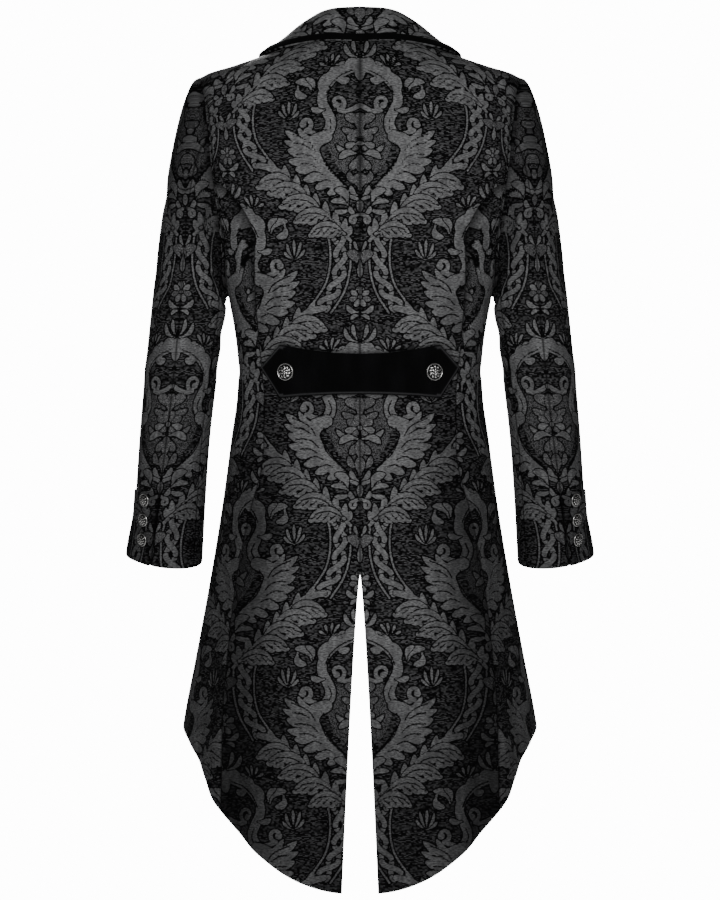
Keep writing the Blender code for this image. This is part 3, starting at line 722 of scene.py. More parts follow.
@dataclass
class Loom:
    """Draws figures as distances in millimetres, on a repeat with mirrors and a half drop.

    Satin figures alternate between two fields, so that the thin line between two that touch stays sharp.
    """

    half: float = 178.0
    rise: float = 379.0
    cell: float = 0.5
    gap: float = 1.25
    empty: float = 20.0
    deepest: float = 8.0
    tip_half: float = 0.35
    root_share: float = 0.28
    rib_half: float = 0.9
    cusp_rib_half: float = 0.8
    cusps: tuple[Point, ...] = ((0.26, 0.24), (0.46, 0.30), (0.66, 0.28), (0.84, 0.20))
    cusp_lean: float = 0.20
    braid_line: float = 13.2
    braid_line_half: float = 1.2
    x: Array = field(init=False)
    y: Array = field(init=False)
    cloth: dict[str, Array] = field(init=False)
    turn: int = 0

    def __post_init__(self) -> None:
        """Lays out the empty repeat."""
        self.x = np.arange(round(self.half / self.cell) + 1) * self.cell
        self.y = np.arange(round(self.rise / self.cell)) * self.cell
        self.cloth = {name: np.full((len(self.y), len(self.x)), self.empty) for name in FIELDS}

    def images(self, path: Array) -> Iterator[Array]:
        """The path and the copies of it that can reach the repeat.

        Args:
            path: The path.

        Yields:
            Each copy.
        """
        x, y, half = path[:, 0], path[:, 1], self.half
        level, dropped = (x, -x, 2 * half - x), (half - x, half + x, x - half)
        for xs, drop in [*((xs, 0) for xs in level), *((xs, 0.5) for xs in dropped)]:
            for lift in (-1, 0, 1):
                yield np.stack([xs, y + (drop + lift) * self.rise], -1)

    def reach(self, path: Array, radii: Array, margin: float) -> Iterator[tuple[tuple[slice, slice], Array]]:
        """Distances to each copy of a shape, within the window round it.

        Args:
            path: Its middle line.
            radii: Half its width at each point of the line.
            margin: How far round it to look.

        Yields:
            The window and the distances in it.
        """
        grow = radii.max() + margin
        for image in self.images(path):
            low, high = image.min(0) - grow, image.max(0) + grow
            i0, i1 = np.searchsorted(self.x, (low[0], high[0]))
            j0, j1 = np.searchsorted(self.y, (low[1], high[1]))
            if i0 >= i1 or j0 >= j1:
                continue
            px, py = self.x[i0:i1][None, :], self.y[j0:j1][:, None]
            best = np.full((j1 - j0, i1 - i0), np.inf)
            for (ax, ay), (bx, by), ra, rb in zip(image, image[1:], radii, radii[1:]):
                dx, dy = bx - ax, by - ay
                t = np.clip(((px - ax) * dx + (py - ay) * dy) / max(dx * dx + dy * dy, 1e-9), 0.0, 1.0)
                best = np.minimum(best, np.hypot(px - ax - t * dx, py - ay - t * dy) - (ra + t * (rb - ra)))
            yield (slice(j0, j1), slice(i0, i1)), best

    def paint(
        self, path: Array, radii: Array | float, weave: Weave = Weave.SATIN, outlined: bool = True
    ) -> None:
        """Lays a shape on the cloth, with a thin line cut round it into what lies under it.

        Args:
            path: Its middle line.
            radii: Half its width along the line.
            weave: How it is woven.
            outlined: False where it grows out of what lies under it.
        """
        path = np.asarray(path, float)
        radii = np.broadcast_to(np.asarray(radii, float), (len(path),))
        self.turn += outlined
        layer = f"satin_{'ab'[self.turn % 2]}" if weave is Weave.SATIN else weave.value
        for window, d in self.reach(path, radii, 6.0):
            for name in FIELDS[:3] if outlined and weave is not Weave.SPECKLE else ():
                self.cloth[name][window] = np.maximum(self.cloth[name][window], self.gap - d)
            self.cloth[layer][window] = np.minimum(self.cloth[layer][window], d)

    def cut(self, path: Array, half_width: float) -> None:
        """Cuts a thin line through whatever lies there."""
        for window, d in self.reach(path, np.full(len(path), half_width), 3.0):
            for name in FIELDS[:3]:
                self.cloth[name][window] = np.maximum(self.cloth[name][window], -d)

    def stroke(self, points: Sequence[Point], *halves: float) -> None:
        """A band that swells from its first half width to its second and narrows to its third."""
        path = smooth_path(points)
        self.paint(path, np.interp(np.linspace(0, 1, len(path)), [0, 0.5, 1], halves))

    def lobe(self, lobe: Lobe) -> None:
        """Draws a leaf lobe: narrow at its base, fullest past its middle, pointed at its tip.

        Args:
            lobe: Its place, size and weave.
        """
        t = np.linspace(0, 1, 15)
        swell = np.sin(np.pi * np.clip(t ** (np.log(0.5) / np.log(lobe.full)), 0, 1)) ** 0.85
        blade = self.tip_half + (lobe.width - self.tip_half) * swell
        halves = np.maximum(blade, lobe.width * self.root_share * (1 - t))
        self.paint(bowed(lobe.base, lobe.tip, lobe.bend, t), halves, lobe.weave, lobe.outlined)

    def lobes(self, rows: Sequence[Lobe], **how: object) -> None:
        """Draws a table of lobes, all of them in this way."""
        for row in rows:
            self.lobe(row._replace(**how))

    def scroll(
        self, centre: Point, radius: float, start: float, sweep: float, width: float, eye: float,
        tail: list[Point],
    ) -> None:
        """A tail that leads into a spiral with a ball in its eye.

        Args:
            centre: Of the spiral.
            radius: Where the spiral starts.
            start: Angle where it starts, 0 to the right and 90 down.
            sweep: How far it turns.
            width: Half its band's width.
            eye: Radius of the ball.
            tail: Points that lead into it.
        """
        t = np.linspace(0, 1, 22)
        angle, r = np.radians(start + sweep * t), radius * (1 - 0.66 * t)
        path = np.stack([centre[0] + r * np.cos(angle), centre[1] + r * np.sin(angle)], -1)
        path = np.vstack([smooth_path([*tail, tuple(path[0])], 5)[:-1], path])
        self.paint(path, np.linspace(width, width * 0.62, len(path)))
        self.ball(tuple(path[-1]), eye, outlined=False)

    def ball(self, centre: Point, radius: float, weave: Weave = Weave.SATIN, outlined: bool = True) -> None:
        """A round dot."""
        self.paint(np.array([centre, (centre[0] + 0.01, centre[1])]), radius, weave, outlined)

    def braid(self, points: Sequence[Point], reach: float, strand: float, turn: float) -> None:
        """Two strands twisted round each other, between two thin lines.

        Args:
            points: The braid's middle line.
            reach: How far a strand swings from it.
            strand: Half a strand's width.
            turn: Length of a full twist.
        """
        path = smooth_path(points, 12)
        length = run_of(path)[-1]
        s = np.arange(0, length, 1.6)
        middle = along_path(path, s)
        tangent = unit(np.gradient(middle, s, axis=0))
        normal = np.stack([-tangent[:, 1], tangent[:, 0]], -1)
        wave = reach * np.sin(2 * np.pi * s / turn)
        for line in (self.braid_line, -self.braid_line):
            self.paint(middle + normal * line, self.braid_line_half)
        crossings = np.arange(0, length + turn, turn / 2) - turn / 4
        turns = [
            ((k + (sign > 0)) % 2, sign, a, b)
            for k, (a, b) in enumerate(zip(crossings, crossings[1:]))
            for sign in (1, -1)
        ]
        for _, sign, a, b in sorted(turns, key=lambda one: (one[0], one[2])):
            inside = (s >= a - 2.0) & (s <= b + 2.0)
            if inside.sum() > 1:
                self.paint((middle + normal * (sign * wave)[:, None])[inside], strand)

    def leaf(self, blade: Lobe, side: int) -> None:
        """Draws an acanthus leaf: a bowed blade with cusped lobes down its outer side, and ribs.

        Args:
            blade: Its place and size.
            side: 1 or -1, the side with the lobes.
        """
        along = np.array(blade.tip) - np.array(blade.base)
        across = np.array([-along[1], along[0]])
        cusps = []
        for t, length in self.cusps:
            root = bowed(blade.base, blade.tip, blade.bend, np.array([t]))[0]
            point = root + along * self.cusp_lean - across * side * length
            cusps.append(Lobe(root - along * 0.05, point, -0.16 * side, blade.width * 0.48, full=0.72))
        for outlined in (True, False):
            self.lobes([blade._replace(full=0.55), *cusps], outlined=outlined)
        for cusp in cusps:
            self.cut(bowed(cusp.base, cusp.tip, 0.0, np.array([0.25, 0.8])), self.cusp_rib_half)
        self.cut(bowed(blade.base, blade.tip, blade.bend, np.linspace(0.08, 0.86, 9)), self.rib_half)

    def spray(
        self, stem: Sequence[Point], side: int, starts: Sequence[float],
        reach: Point, spread: Point, width: Point, bend: float, cusped: bool = False,
    ) -> None:
        """Lobes that lie along a stem as a feather's do, with their tips towards the stem's start.

        Args:
            stem: Points of the stem.
            side: 1 or -1.
            starts: How far along the stem each lobe grows from.
            reach: Length of the first and the last lobe along the stem.
            spread: How far their tips stand off it.
            width: Half their widths.
            bend: How far they bow.
            cusped: Whether each is a leaf with cusps of its own.
        """
        path = smooth_path(stem, 16)
        for start, share in zip(starts, np.linspace(0, 1, len(starts))):
            r, out, wide = (pair[0] + (pair[1] - pair[0]) * share for pair in (reach, spread, width))
            ahead = along_path(path, start - r + 2) - along_path(path, start - r - 2)
            normal = np.array([-ahead[1], ahead[0]]) / max(np.linalg.norm(ahead), 1e-6)
            tip = along_path(path, start - r) + normal * side * out
            blade = Lobe(along_path(path, start), tip, bend * side, wide, outlined=False)
            if cusped:
                self.leaf(blade, side)
            else:
                self.lobe(blade)

    def read(self, x: Array, y: Array) -> dict[str, Array]:
        """Reads the fields at places on the cloth.

        Args:
            x: Millimetres from a mirror line.
            y: Millimetres down the cloth.

        Returns:
            Distances to the nearest figure of each field, negative inside it.
        """
        i = np.abs((x + self.half) % (2 * self.half) - self.half) / self.cell
        j = (y % self.rise) / self.cell
        i0 = np.clip(i.astype(int), 0, len(self.x) - 2)
        fx, j0 = i - i0, j.astype(int) % len(self.y)
        fy, j1 = j - j.astype(int), (j0 + 1) % len(self.y)
        out = {}
        for name, cloth in self.cloth.items():
            above, below = (cloth[row, i0] * (1 - fx) + cloth[row, i0 + 1] * fx for row in (j0, j1))
            out[name] = np.clip(above * (1 - fy) + below * fy, -self.deepest, self.deepest)
        return out


WING_LOBES = table(
    Lobe,
    ((58, 100), (80, 84), 0.18, 3.6), ((58, 104), (97, 87), 0.12, 5.0), ((60, 110), (99, 101), 0.10, 4.6),
    ((60, 118), (94, 114), 0.12, 5.6), ((58, 126), (93, 129), 0.12, 5.4), ((54, 132), (84, 141), 0.14, 6.0),
    ((48, 140), (73, 155), 0.14, 5.8), ((38, 148), (58, 166), 0.16, 5.6), ((28, 156), (42, 174), 0.18, 5.0),
    ((18, 164), (27, 180), 0.18, 4.0),
)
CREST_TEETH = table(
    Lobe,
    ((7, 6), (0, 22), 0.15, 5.0), ((30, 19), (14, 20), -0.25, 4.6), ((24, 16), (0, -7), 0.10, 7.0),
    ((42, 28), (17, 0), 0.20, 4.6), ((48, 44), (41, 12), 0.20, 4.0),
)
FOOT_LEAVES = table(
    Lobe,
    ((16, 186), (33, 168), -0.25, 5.4), ((14, 190), (38, 184), -0.15, 3.4), ((12, 193), (33, 197), 0.12, 3.2),
)
PALMETTE_TOP = table(
    Lobe, ((2, 86), (19, 70), -0.2, 6.5), ((2, 90), (23, 86), 0.15, 4.2), ((0, 92), (0, 66), 0.0, 6.0)
)
PALMETTE_SIDES = table(Lobe, ((3, 118), (31, 108), 0.2, 3.6), ((3, 121), (27, 127), -0.2, 4.6))
PALMETTE_FOOT = table(
    Lobe,
    ((2, 124), (13, 140), 0.1, 5.4), ((0, 150), (0, 122), 0.0, 6.0), ((3, 160), (14, 144), 0.2, 4.0),
    ((0, 168), (0, 146), 0.0, 6.5),
)
DIAMOND = table(
    Lobe,
    ((2, 176), (12, 163), 0.15, 3.4), ((0, 200), (0, 182), 0.0, 4.0, Weave.TWILL),
    ((2, 201), (13, 190), 0.25, 3.0),
)
BUD = table(
    Lobe, ((62, 36), (84, 21), -0.25, 5.0), ((60, 34), (70, 17), -0.2, 3.6), ((80, 26), (69, 42), -0.35, 4.8)
)
TWIGS = tuple(
    Lobe(base, tip, bend, 1.9, full=0.7)
    for base, tip, bend in (
        ((93, 72), (92, 45), 0.0), ((93, 72), (101, 48), 0.05), ((93, 72), (106, 58), 0.1),
        ((93, 72), (83, 50), -0.1), ((93, 72), (79, 61), -0.1), ((35, 2), (26, -12), 0.05),
        ((37, 1), (35, -14), 0.05), ((41, 0), (45, -11), 0.05), ((30, 3), (20, -2), 0.05),
        ((43, 2), (53, -3), 0.05),
    )
)
AXIS_LEAVES = table(
    Lobe,
    ((1, 272), (16, 252), -0.25, 7.0, Weave.TWILL), ((0, 262), (0, 285), 0.0, 3.2),
    ((1, 250), (7, 236), 0.1, 2.2), ((2, 331), (17, 322), 0.2, 3.4), ((1, 336), (12, 341), -0.2, 2.6),
    ((3, 371), (20, 352), 0.2, 3.0), ((3, 368), (9, 347), 0.1, 2.6),
)
BRAID_CAP = table(
    Lobe,
    ((150, 40), (134, 30), -0.25, 3.6), ((150, 38), (166, 27), 0.3, 4.6), ((150, 40), (150, 22), 0.0, 5.2),
)
CREST_VEINS = ([(8, 8), (24, 15), (38, 27), (45, 42)], [(41, 70), (37, 82), (43, 94)])
WING_VEINS = (
    [(88, 93), (74, 99), (64, 106), (58, 116)],
    [(86, 106), (74, 108), (64, 114)],
    [(84, 121), (72, 121), (62, 124), (54, 132)],
    [(78, 134), (66, 134), (56, 139)],
    [(68, 147), (58, 144), (48, 148)],
    [(52, 158), (44, 155), (36, 158)],
    [(47, 106), (50, 120), (43, 138), (28, 154), (14, 168)],
)


@dataclass
class DamaskDesign:
    """The coat's damask: an ogee of braid and sprays round a crest, wings and a palmette, drawn afresh."""

    loom: Loom = field(default_factory=Loom)
    petal_angles: tuple[float, ...] = (-84, -38, 12, 62)
    odd_petal: int = 2

    def weave(self) -> Loom:
        """Draws the whole repeat.

        Returns:
            The loom with the finished cloth.
        """
        for part in (self.ogee, self.crest, self.wings, self.palmette, self.fillers):
            part()
        return self.loom

    def veins(self, lines: Sequence[list[Point]]) -> None:
        """Cuts a table of veins."""
        for line in lines:
            self.loom.cut(smooth_path(line), self.loom.rib_half)

    def petals(self, centre: Point, near: float, far: float, width: float, rest: Weave) -> None:
        """Petals round a centre on the mirror line, one of them woven the other way.

        Args:
            centre: Of the flower.
            near: Where its petals start.
            far: Where they end.
            width: Half a petal's width.
            rest: Weave of all but one.
        """
        other = Weave.SATIN if rest is Weave.TWILL else Weave.TWILL
        for k, angle in enumerate(np.radians(self.petal_angles)):
            aim = np.array([np.cos(angle), np.sin(angle)])
            base, tip = (np.array(centre) + reach * aim for reach in (near, far))
            self.loom.lobe(Lobe(base, tip, 0.06, width, other if k == self.odd_petal else rest))

    def ogee(self) -> None:
        """The braid and the feathered spray that it turns into."""
        loom = self.loom
        loom.braid([(147, 30), (152, 52), (152, 82), (145, 110), (128, 137)], 6.4, 3.4, 48.0)
        loom.lobes(BRAID_CAP)
        stem = [(131, 136), (113, 141), (96, 153), (76, 174), (56, 193), (34, 212), (12, 236)]
        loom.stroke(stem, 4.0, 5.4, 2.0)
        loom.spray(stem, 1, (44, 60, 76, 92, 108, 124, 140, 154), (34, 22), (12, 15), (4.6, 4.0), 0.12)
        loom.spray(stem, -1, (60, 84, 106, 126, 146), (56, 36), (24, 30), (8.2, 7.0), 0.20, cusped=True)

    def crest(self) -> None:
        """The crest on the mirror line, and the curves that fall from it into two curls."""
        loom = self.loom
        infill = smooth_path([(4, 70), (14, 96), (12, 125), (4, 150)])
        radii = np.interp(np.linspace(0, 1, len(infill)), [0, 0.3, 0.65, 1], [14, 30, 22, 6])
        loom.paint(infill, radii, Weave.SPECKLE)
        curve = [(0, 3), (18, 10), (35, 20), (47, 35), (49, 50), (43, 64), (38, 76), (40, 88), (48, 97)]
        loom.stroke(curve, 5.0, 6.2, 7.0)
        loom.lobes(CREST_TEETH, outlined=False)
        self.veins(CREST_VEINS)
        loom.lobe(Lobe((46, 61), (63, 58), 0.15, 4.0))
        loom.scroll((29, 52), 10.5, 100, 330, 3.2, 4.3, [(1, 56), (10, 61), (19, 64)])
        loom.scroll((71, 79), 9.5, 95, 285, 3.4, 4.6, [(44, 92), (56, 93)])

    def wings(self) -> None:
        """The serrated wings that face each other, and the leaves at their foot."""
        spine = [(44, 97), (58, 104), (64, 118), (56, 138), (38, 156), (19, 170), (3, 181)]
        self.loom.stroke(spine, 8.0, 13.0, 2.0)
        self.loom.lobes(WING_LOBES, outlined=False)
        self.veins(WING_VEINS)
        self.loom.lobes(FOOT_LEAVES)

    def palmette(self) -> None:
        """The palmette between the wings, and the diamond and curls below it."""
        loom = self.loom
        loom.ball((0, 72), 7.5, Weave.TWILL)
        loom.lobes(PALMETTE_TOP, weave=Weave.TWILL)
        self.petals((2, 106), 2.0, 17.0, 4.4, Weave.TWILL)
        loom.ball((0, 106), 3.0)
        loom.lobes(PALMETTE_SIDES)
        loom.lobes(PALMETTE_FOOT, weave=Weave.TWILL)
        loom.lobes(DIAMOND)
        loom.scroll((8, 209), 6.0, -100, 300, 2.2, 2.8, [(1, 201)])

    def fillers(self) -> None:
        """Buds, twigs and the small figures on the mirror line."""
        loom = self.loom
        loom.lobes(BUD)
        loom.lobes(TWIGS)
        loom.lobes(AXIS_LEAVES)
        self.petals((0, 311), 2.5, 13.5, 3.6, Weave.SATIN)
        loom.ball((0, 311), 2.4)


# ---- finishes


@dataclass
class Graph:
    """A material's node tree, with short ways to add and join nodes."""

    name: str
    tree: bpy.types.NodeTree = field(init=False)
    material: Material = field(init=False)
    shader: bpy.types.Node = field(init=False)

    def __post_init__(self) -> None:
        """Makes the material."""
        self.material = bpy.data.materials.new(self.name)
        self.material.use_nodes = True
        self.tree = self.material.node_tree
        self.shader = self.tree.nodes["Principled BSDF"]

    def feed(self, socket: Socket, value: object) -> None:
        """Gives an input a value, or links an output to it.

        Args:
            socket: The input.
            value: The value or output.
        """
        if isinstance(value, Socket):
            self.tree.links.new(value, socket)
        else:
            socket.default_value = value

    def node(self, kind: str, inputs: Inputs | None = None, **settings: object) -> bpy.types.Node:
        """Adds a node.

        Args:
            kind: Its Blender type, after the words ShaderNode.
            inputs: Values or output sockets for its inputs.
            settings: Its own settings.

        Returns:
            The node.
        """
        made = self.tree.nodes.new(f"ShaderNode{kind}")
        for name, value in settings.items():
            setattr(made, name, value)
        for name, value in (inputs or {}).items():
            self.feed(made.inputs[name], value)
        return made

    def math(self, operation: str, a: object, b: object = 0.0) -> Socket:
        """The result of a Math node on numbers or sockets."""
        return self.node("Math", {0: a, 1: b}, operation=operation).outputs[0]

    def times(self, a: object, b: object) -> Socket:
        """The product of two numbers."""
        return self.math("MULTIPLY", a, b)

    def plus(self, a: object, b: object) -> Socket:
        """The sum of two numbers."""
        return self.math("ADD", a, b)

    def scaled(self, place: object, x: float, y: float, operation: str = "MULTIPLY") -> Socket:
        """A place on the cloth, stretched in its two directions."""
        return self.node("VectorMath", {0: place, 1: (x, y, 1.0)}, operation=operation).outputs[0]

    def ramp(self, value: object, low: float, high: float, start: float = 0.0, end: float = 1.0) -> Socket:
        """Maps low..high to start..end, clamped."""
        inputs = {"Value": value, "From Min": low, "From Max": high, "To Min": start, "To Max": end}
        return self.node("MapRange", inputs).outputs[0]

    def mix(self, share: object, a: object, b: object) -> Socket:
        """Mixes two colours."""
        return self.node("Mix", {"Factor": share, 6: a, 7: b}, data_type="RGBA").outputs[2]

    def attribute(self, name: str) -> Socket:
        """The value of one of the piece's attributes."""
        return self.node("Attribute", attribute_name=name).outputs["Fac"]

    def cloth_place(self) -> Socket:
        """The place on the flat cloth, in metres, from the piece's UV map."""
        return self.node("UVMap", uv_map="cloth").outputs[0]

    def object_place(self) -> Socket:
        """The place on the object."""
        return self.node("TexCoord").outputs["Object"]

    def noise(self, place: object, scale: float, detail: float = 2.0) -> Socket:
        """The value of a noise texture."""
        return self.node("TexNoise", {"Vector": place, "Scale": scale, "Detail": detail}).outputs[0]

    def random(self, place: object) -> Socket:
        """A random number for each place."""
        return self.node("TexWhiteNoise", {"Vector": place}, noise_dimensions="3D").outputs[0]

    def threads(self, place: object, scale: float, distortion: float, detail: float, run: str) -> Socket:
        """Even bands, as threads lie."""
        inputs = {"Vector": place, "Scale": scale, "Distortion": distortion, "Detail": detail}
        return self.node("TexWave", inputs, bands_direction=run).outputs[1]

    def bump(self, height: object, distance: float, strength: float) -> None:
        """Gives the shader a bump of this height, in metres."""
        made = self.node("Bump", {"Height": height, "Distance": distance, "Strength": strength})
        self.feed(self.shader.inputs["Normal"], made.outputs[0])

    def finish(self, **values: object) -> Material:
        """Sets the shader's sockets, with underscores for spaces, and returns the material."""
        for name, value in values.items():
            self.feed(self.shader.inputs[name.replace("_", " ")], value)
        return self.material


@dataclass(frozen=True)
class DamaskFinish:
    """Black ribbed ground with satin grey figures, each with a thin black outline."""

    satin: Colour = (0.130, 0.131, 0.133, 1.0)
    satin_dark: Colour = (0.036, 0.036, 0.037, 1.0)
    twill: Colour = (0.118, 0.118, 0.120, 1.0)
    twill_dark: Colour = (0.030, 0.030, 0.031, 1.0)
    slub: Colour = (0.058, 0.058, 0.060, 1.0)
    ground: Colour = (0.0012, 0.0012, 0.0013, 1.0)
    # Black of the outlines, and the black that the painted shade mixes towards.
    outline: Colour = (0.0007, 0.0007, 0.0008, 1.0)
    infill: Colour = (0.060, 0.060, 0.062, 1.0)
    infill_dark: Colour = (0.007, 0.007, 0.007, 1.0)
    slub_length: float = 0.0031
    slub_height: float = 0.0014
    slub_lag: float = 9.0
    slub_seed: float = 3.0
    fray: float = 2.4
    fray_scale: float = 300.0
    dot_scale: float = 1250.0
    weft_scale: float = 190.0
    streak_scale: float = 230.0
    cloud_scale: float = 95.0
    rough: float = 0.88
    satin_gloss: float = 0.34
    thread_height: float = 0.0003

    def make(self) -> Material:
        """Builds the material.

        Returns:
            The damask.
        """
        g = Graph("damask cloth")
        place = g.cloth_place()
        steps = g.noise(g.scaled(place, 1.0, 1.6), self.fray_scale)
        fray = g.times(g.math("SUBTRACT", steps, 0.5), self.fray)
        satin = g.plus(g.math("MINIMUM", g.attribute("satin_a"), g.attribute("satin_b")), fray)
        twill = g.plus(g.attribute("twill"), fray)
        across, down = g.node("SeparateXYZ", {0: place}).outputs[:2]
        rows = g.times(down, 1 / self.slub_height)
        row = g.math("FLOOR", rows)
        lag = g.times(g.random(g.node("CombineXYZ", {1: row}).outputs[0]), self.slub_lag)
        column = g.math("FLOOR", g.plus(g.times(across, 1 / self.slub_length), lag))
        dash = g.random(g.node("CombineXYZ", {0: column, 1: row, 2: self.slub_seed}).outputs[0])
        lit_slub = g.ramp(g.plus(dash, g.times(g.noise(place, 26.0), 0.3)), 0.52, 1.14)
        rib = g.math("ABSOLUTE", g.math("SUBTRACT", g.math("FRACT", rows), 0.5))
        ground = g.mix(g.times(lit_slub, g.ramp(rib, 0.48, 0.26)), self.ground, self.slub)
        grain = g.scaled(g.scaled(place, self.dot_scale, self.dot_scale), 0.0, 0.0, "FLOOR")
        dots = g.ramp(g.random(grain), 0.48, 0.52)
        infill = g.mix(dots, self.infill_dark, self.infill)
        ground = g.mix(g.ramp(g.attribute("speckle"), 0.4, -0.4), ground, infill)
        ground = g.mix(g.ramp(g.math("MINIMUM", satin, twill), 2.1, 1.4), ground, self.outline)
        streaks = g.ramp(g.noise(g.scaled(place, 1.0, 2.8), self.streak_scale), 0.38, 0.60, 0.1, 1.0)
        clouds = g.ramp(g.noise(g.scaled(place, 1.0, 0.45), self.cloud_scale, 3.0), 0.34, 0.60, 0.45, 1.0)
        mottle = g.times(streaks, clouds)
        weft = g.threads(place, self.weft_scale, 0.6, 1.0, "Y")
        thread = g.times(g.ramp(weft, 0.0, 1.0, 0.7, 1.0), mottle)
        is_twill, is_satin = g.ramp(twill, 0.3, -0.3), g.ramp(satin, 0.3, -0.3)
        colour = g.mix(is_twill, ground, g.mix(g.times(dots, mottle), self.twill_dark, self.twill))
        colour = g.mix(is_satin, colour, g.mix(thread, self.satin_dark, self.satin))
        raised = g.math("MAXIMUM", is_satin, g.times(is_twill, 0.6))
        g.bump(g.plus(g.times(raised, 0.6), g.times(g.plus(thread, dash), 0.2)), self.thread_height, 0.6)
        # The shade attribute paints shade: it mixes the colour towards the outline black.
        return g.finish(
            Base_Color=g.mix(g.attribute("shade"), self.outline, colour),
            Roughness=g.math("SUBTRACT", self.rough, g.times(is_satin, self.satin_gloss)),
            Specular_IOR_Level=0.035,
        )


@dataclass(frozen=True)
class LiningFinish:
    """Plain black lining of the inner faces, which is the reverse of the damask."""

    colour: Colour = (0.0060, 0.0060, 0.0066, 1.0)
    rib: Colour = (0.0110, 0.0110, 0.0120, 1.0)
    twill_scale: float = 210.0

    def make(self) -> Material:
        """Builds the material.

        Returns:
            The lining.
        """
        g = Graph("black lining")
        place = g.cloth_place()
        twill = g.threads(place, self.twill_scale, 0.4, 2.0, "DIAGONAL")
        rib = g.times(twill, g.ramp(g.noise(place, 60.0), 0.35, 0.7, 0.4, 1.0))
        g.bump(twill, 0.0002, 0.5)
        return g.finish(
            Base_Color=g.mix(rib, self.colour, self.rib),
            Roughness=g.ramp(g.noise(place, 18.0), 0.3, 0.7, 0.50, 0.62),
            Specular_IOR_Level=0.3,
            Sheen_Weight=0.05,
        )


@dataclass(frozen=True)
class VelvetFinish:
    """Black short-pile velvet, with its piped edge in a duller, lighter black."""

    pile: Colour = (0.0010, 0.0010, 0.0011, 1.0)
    brushed: Colour = (0.0030, 0.0030, 0.0034, 1.0)
    piping: Colour = (0.020, 0.020, 0.021, 1.0)
    nap_scale: float = 1400.0
    stroke_scale: float = 42.0

    def make(self) -> Material:
        """Builds the material.

        Returns:
            The velvet.
        """
        g = Graph("black velvet")
        place = g.cloth_place()
        nap = g.noise(place, self.nap_scale, 1.0)
        stroke = g.ramp(g.noise(g.scaled(place, 1.0, 0.35), self.stroke_scale), 0.42, 0.72)
        pile = g.mix(g.times(stroke, nap), self.pile, self.brushed)
        g.bump(nap, 0.0005, 0.7)
        return g.finish(
            Base_Color=g.mix(g.attribute("piping"), pile, self.piping),
            Roughness=g.ramp(nap, 0.2, 0.8, 0.88, 1.0),
            Specular_IOR_Level=0.04,
            Sheen_Weight=0.02,
            Sheen_Roughness=0.35,
        )


@dataclass(frozen=True)
class AntiqueMetal:
    """Silver button metal, darkened in the hollows of its ornament."""

    bright: Colour = (0.88, 0.87, 0.85, 1.0)
    worn: Colour = (0.34, 0.335, 0.33, 1.0)
    hollow: Colour = (0.006, 0.006, 0.006, 1.0)
    patina_scale: float = 900.0
    pit_scale: float = 2600.0

    def make(self) -> Material:
        """Builds the material.

        Returns:
            The metal.
        """
        g = Graph("antique silver")
        place = g.object_place()
        patina = g.ramp(g.noise(place, self.patina_scale, 3.0), 0.35, 0.7)
        g.bump(g.noise(place, self.pit_scale), 0.0001, 0.35)
        return g.finish(
            Base_Color=g.mix(
                g.ramp(g.attribute("relief"), 0.20, 1.0), self.hollow, g.mix(patina, self.bright, self.worn)
            ),
            Metallic=0.9,
            Roughness=g.plus(0.24, g.times(patina, 0.12)),
        )


@dataclass(frozen=True)
class PaleFloor:
    """Matt pale floor."""

    colour: Colour = (0.78, 0.78, 0.78, 1.0)
    marked: Colour = (0.74, 0.74, 0.745, 1.0)

    def make(self) -> Material:
        """Builds the floor's paint."""
        g = Graph("pale floor")
        marks = g.noise(g.object_place(), 1.4)
        return g.finish(Base_Color=g.mix(marks, self.colour, self.marked), Roughness=0.85)


# ---- cloth pieces


def stand(name: str, data: bpy.types.ID) -> bpy.types.Object:
    """Puts a new object of this data in the scene."""
    made = bpy.data.objects.new(name, data)
    bpy.context.scene.collection.objects.link(made)
    return made


def finished(name: str, shape: bmesh.types.BMesh) -> bpy.types.Mesh:
    """Makes a mesh of a finished shape.

    Args:
        name: The mesh's name.
        shape: The shape, which it frees.

    Returns:
        The mesh.
    """
    mesh = bpy.data.meshes.new(name)
    shape.to_mesh(mesh)
    shape.free()
    return mesh


def vertices(mesh: bpy.types.Mesh) -> Array:
    """The places of a mesh's vertices."""
    flat = np.empty(len(mesh.vertices) * 3, np.float32)
    mesh.vertices.foreach_get("co", flat)
    return flat.reshape(-1, 3)


def note(mesh: bpy.types.Mesh, name: str, values: Array) -> None:
    """Gives each vertex of a mesh a value."""
    mesh.attributes.new(name, "FLOAT", "POINT").data.foreach_set("value", values.astype(np.float32))


class Edge(Enum):
    """What a sheet does at one of its sides."""

    SEAM = "sewn, with a soft valley along it"
    TURNED = "turned under to a rounded edge"
    TUCKED = "hidden under another piece"


# A sheet's edges: left, right, top and bottom.
Edges = tuple[Edge, Edge, Edge, Edge]
HEMMED = (Edge.SEAM, Edge.SEAM, Edge.SEAM, Edge.TURNED)
FREE = (Edge.TURNED,) * 4


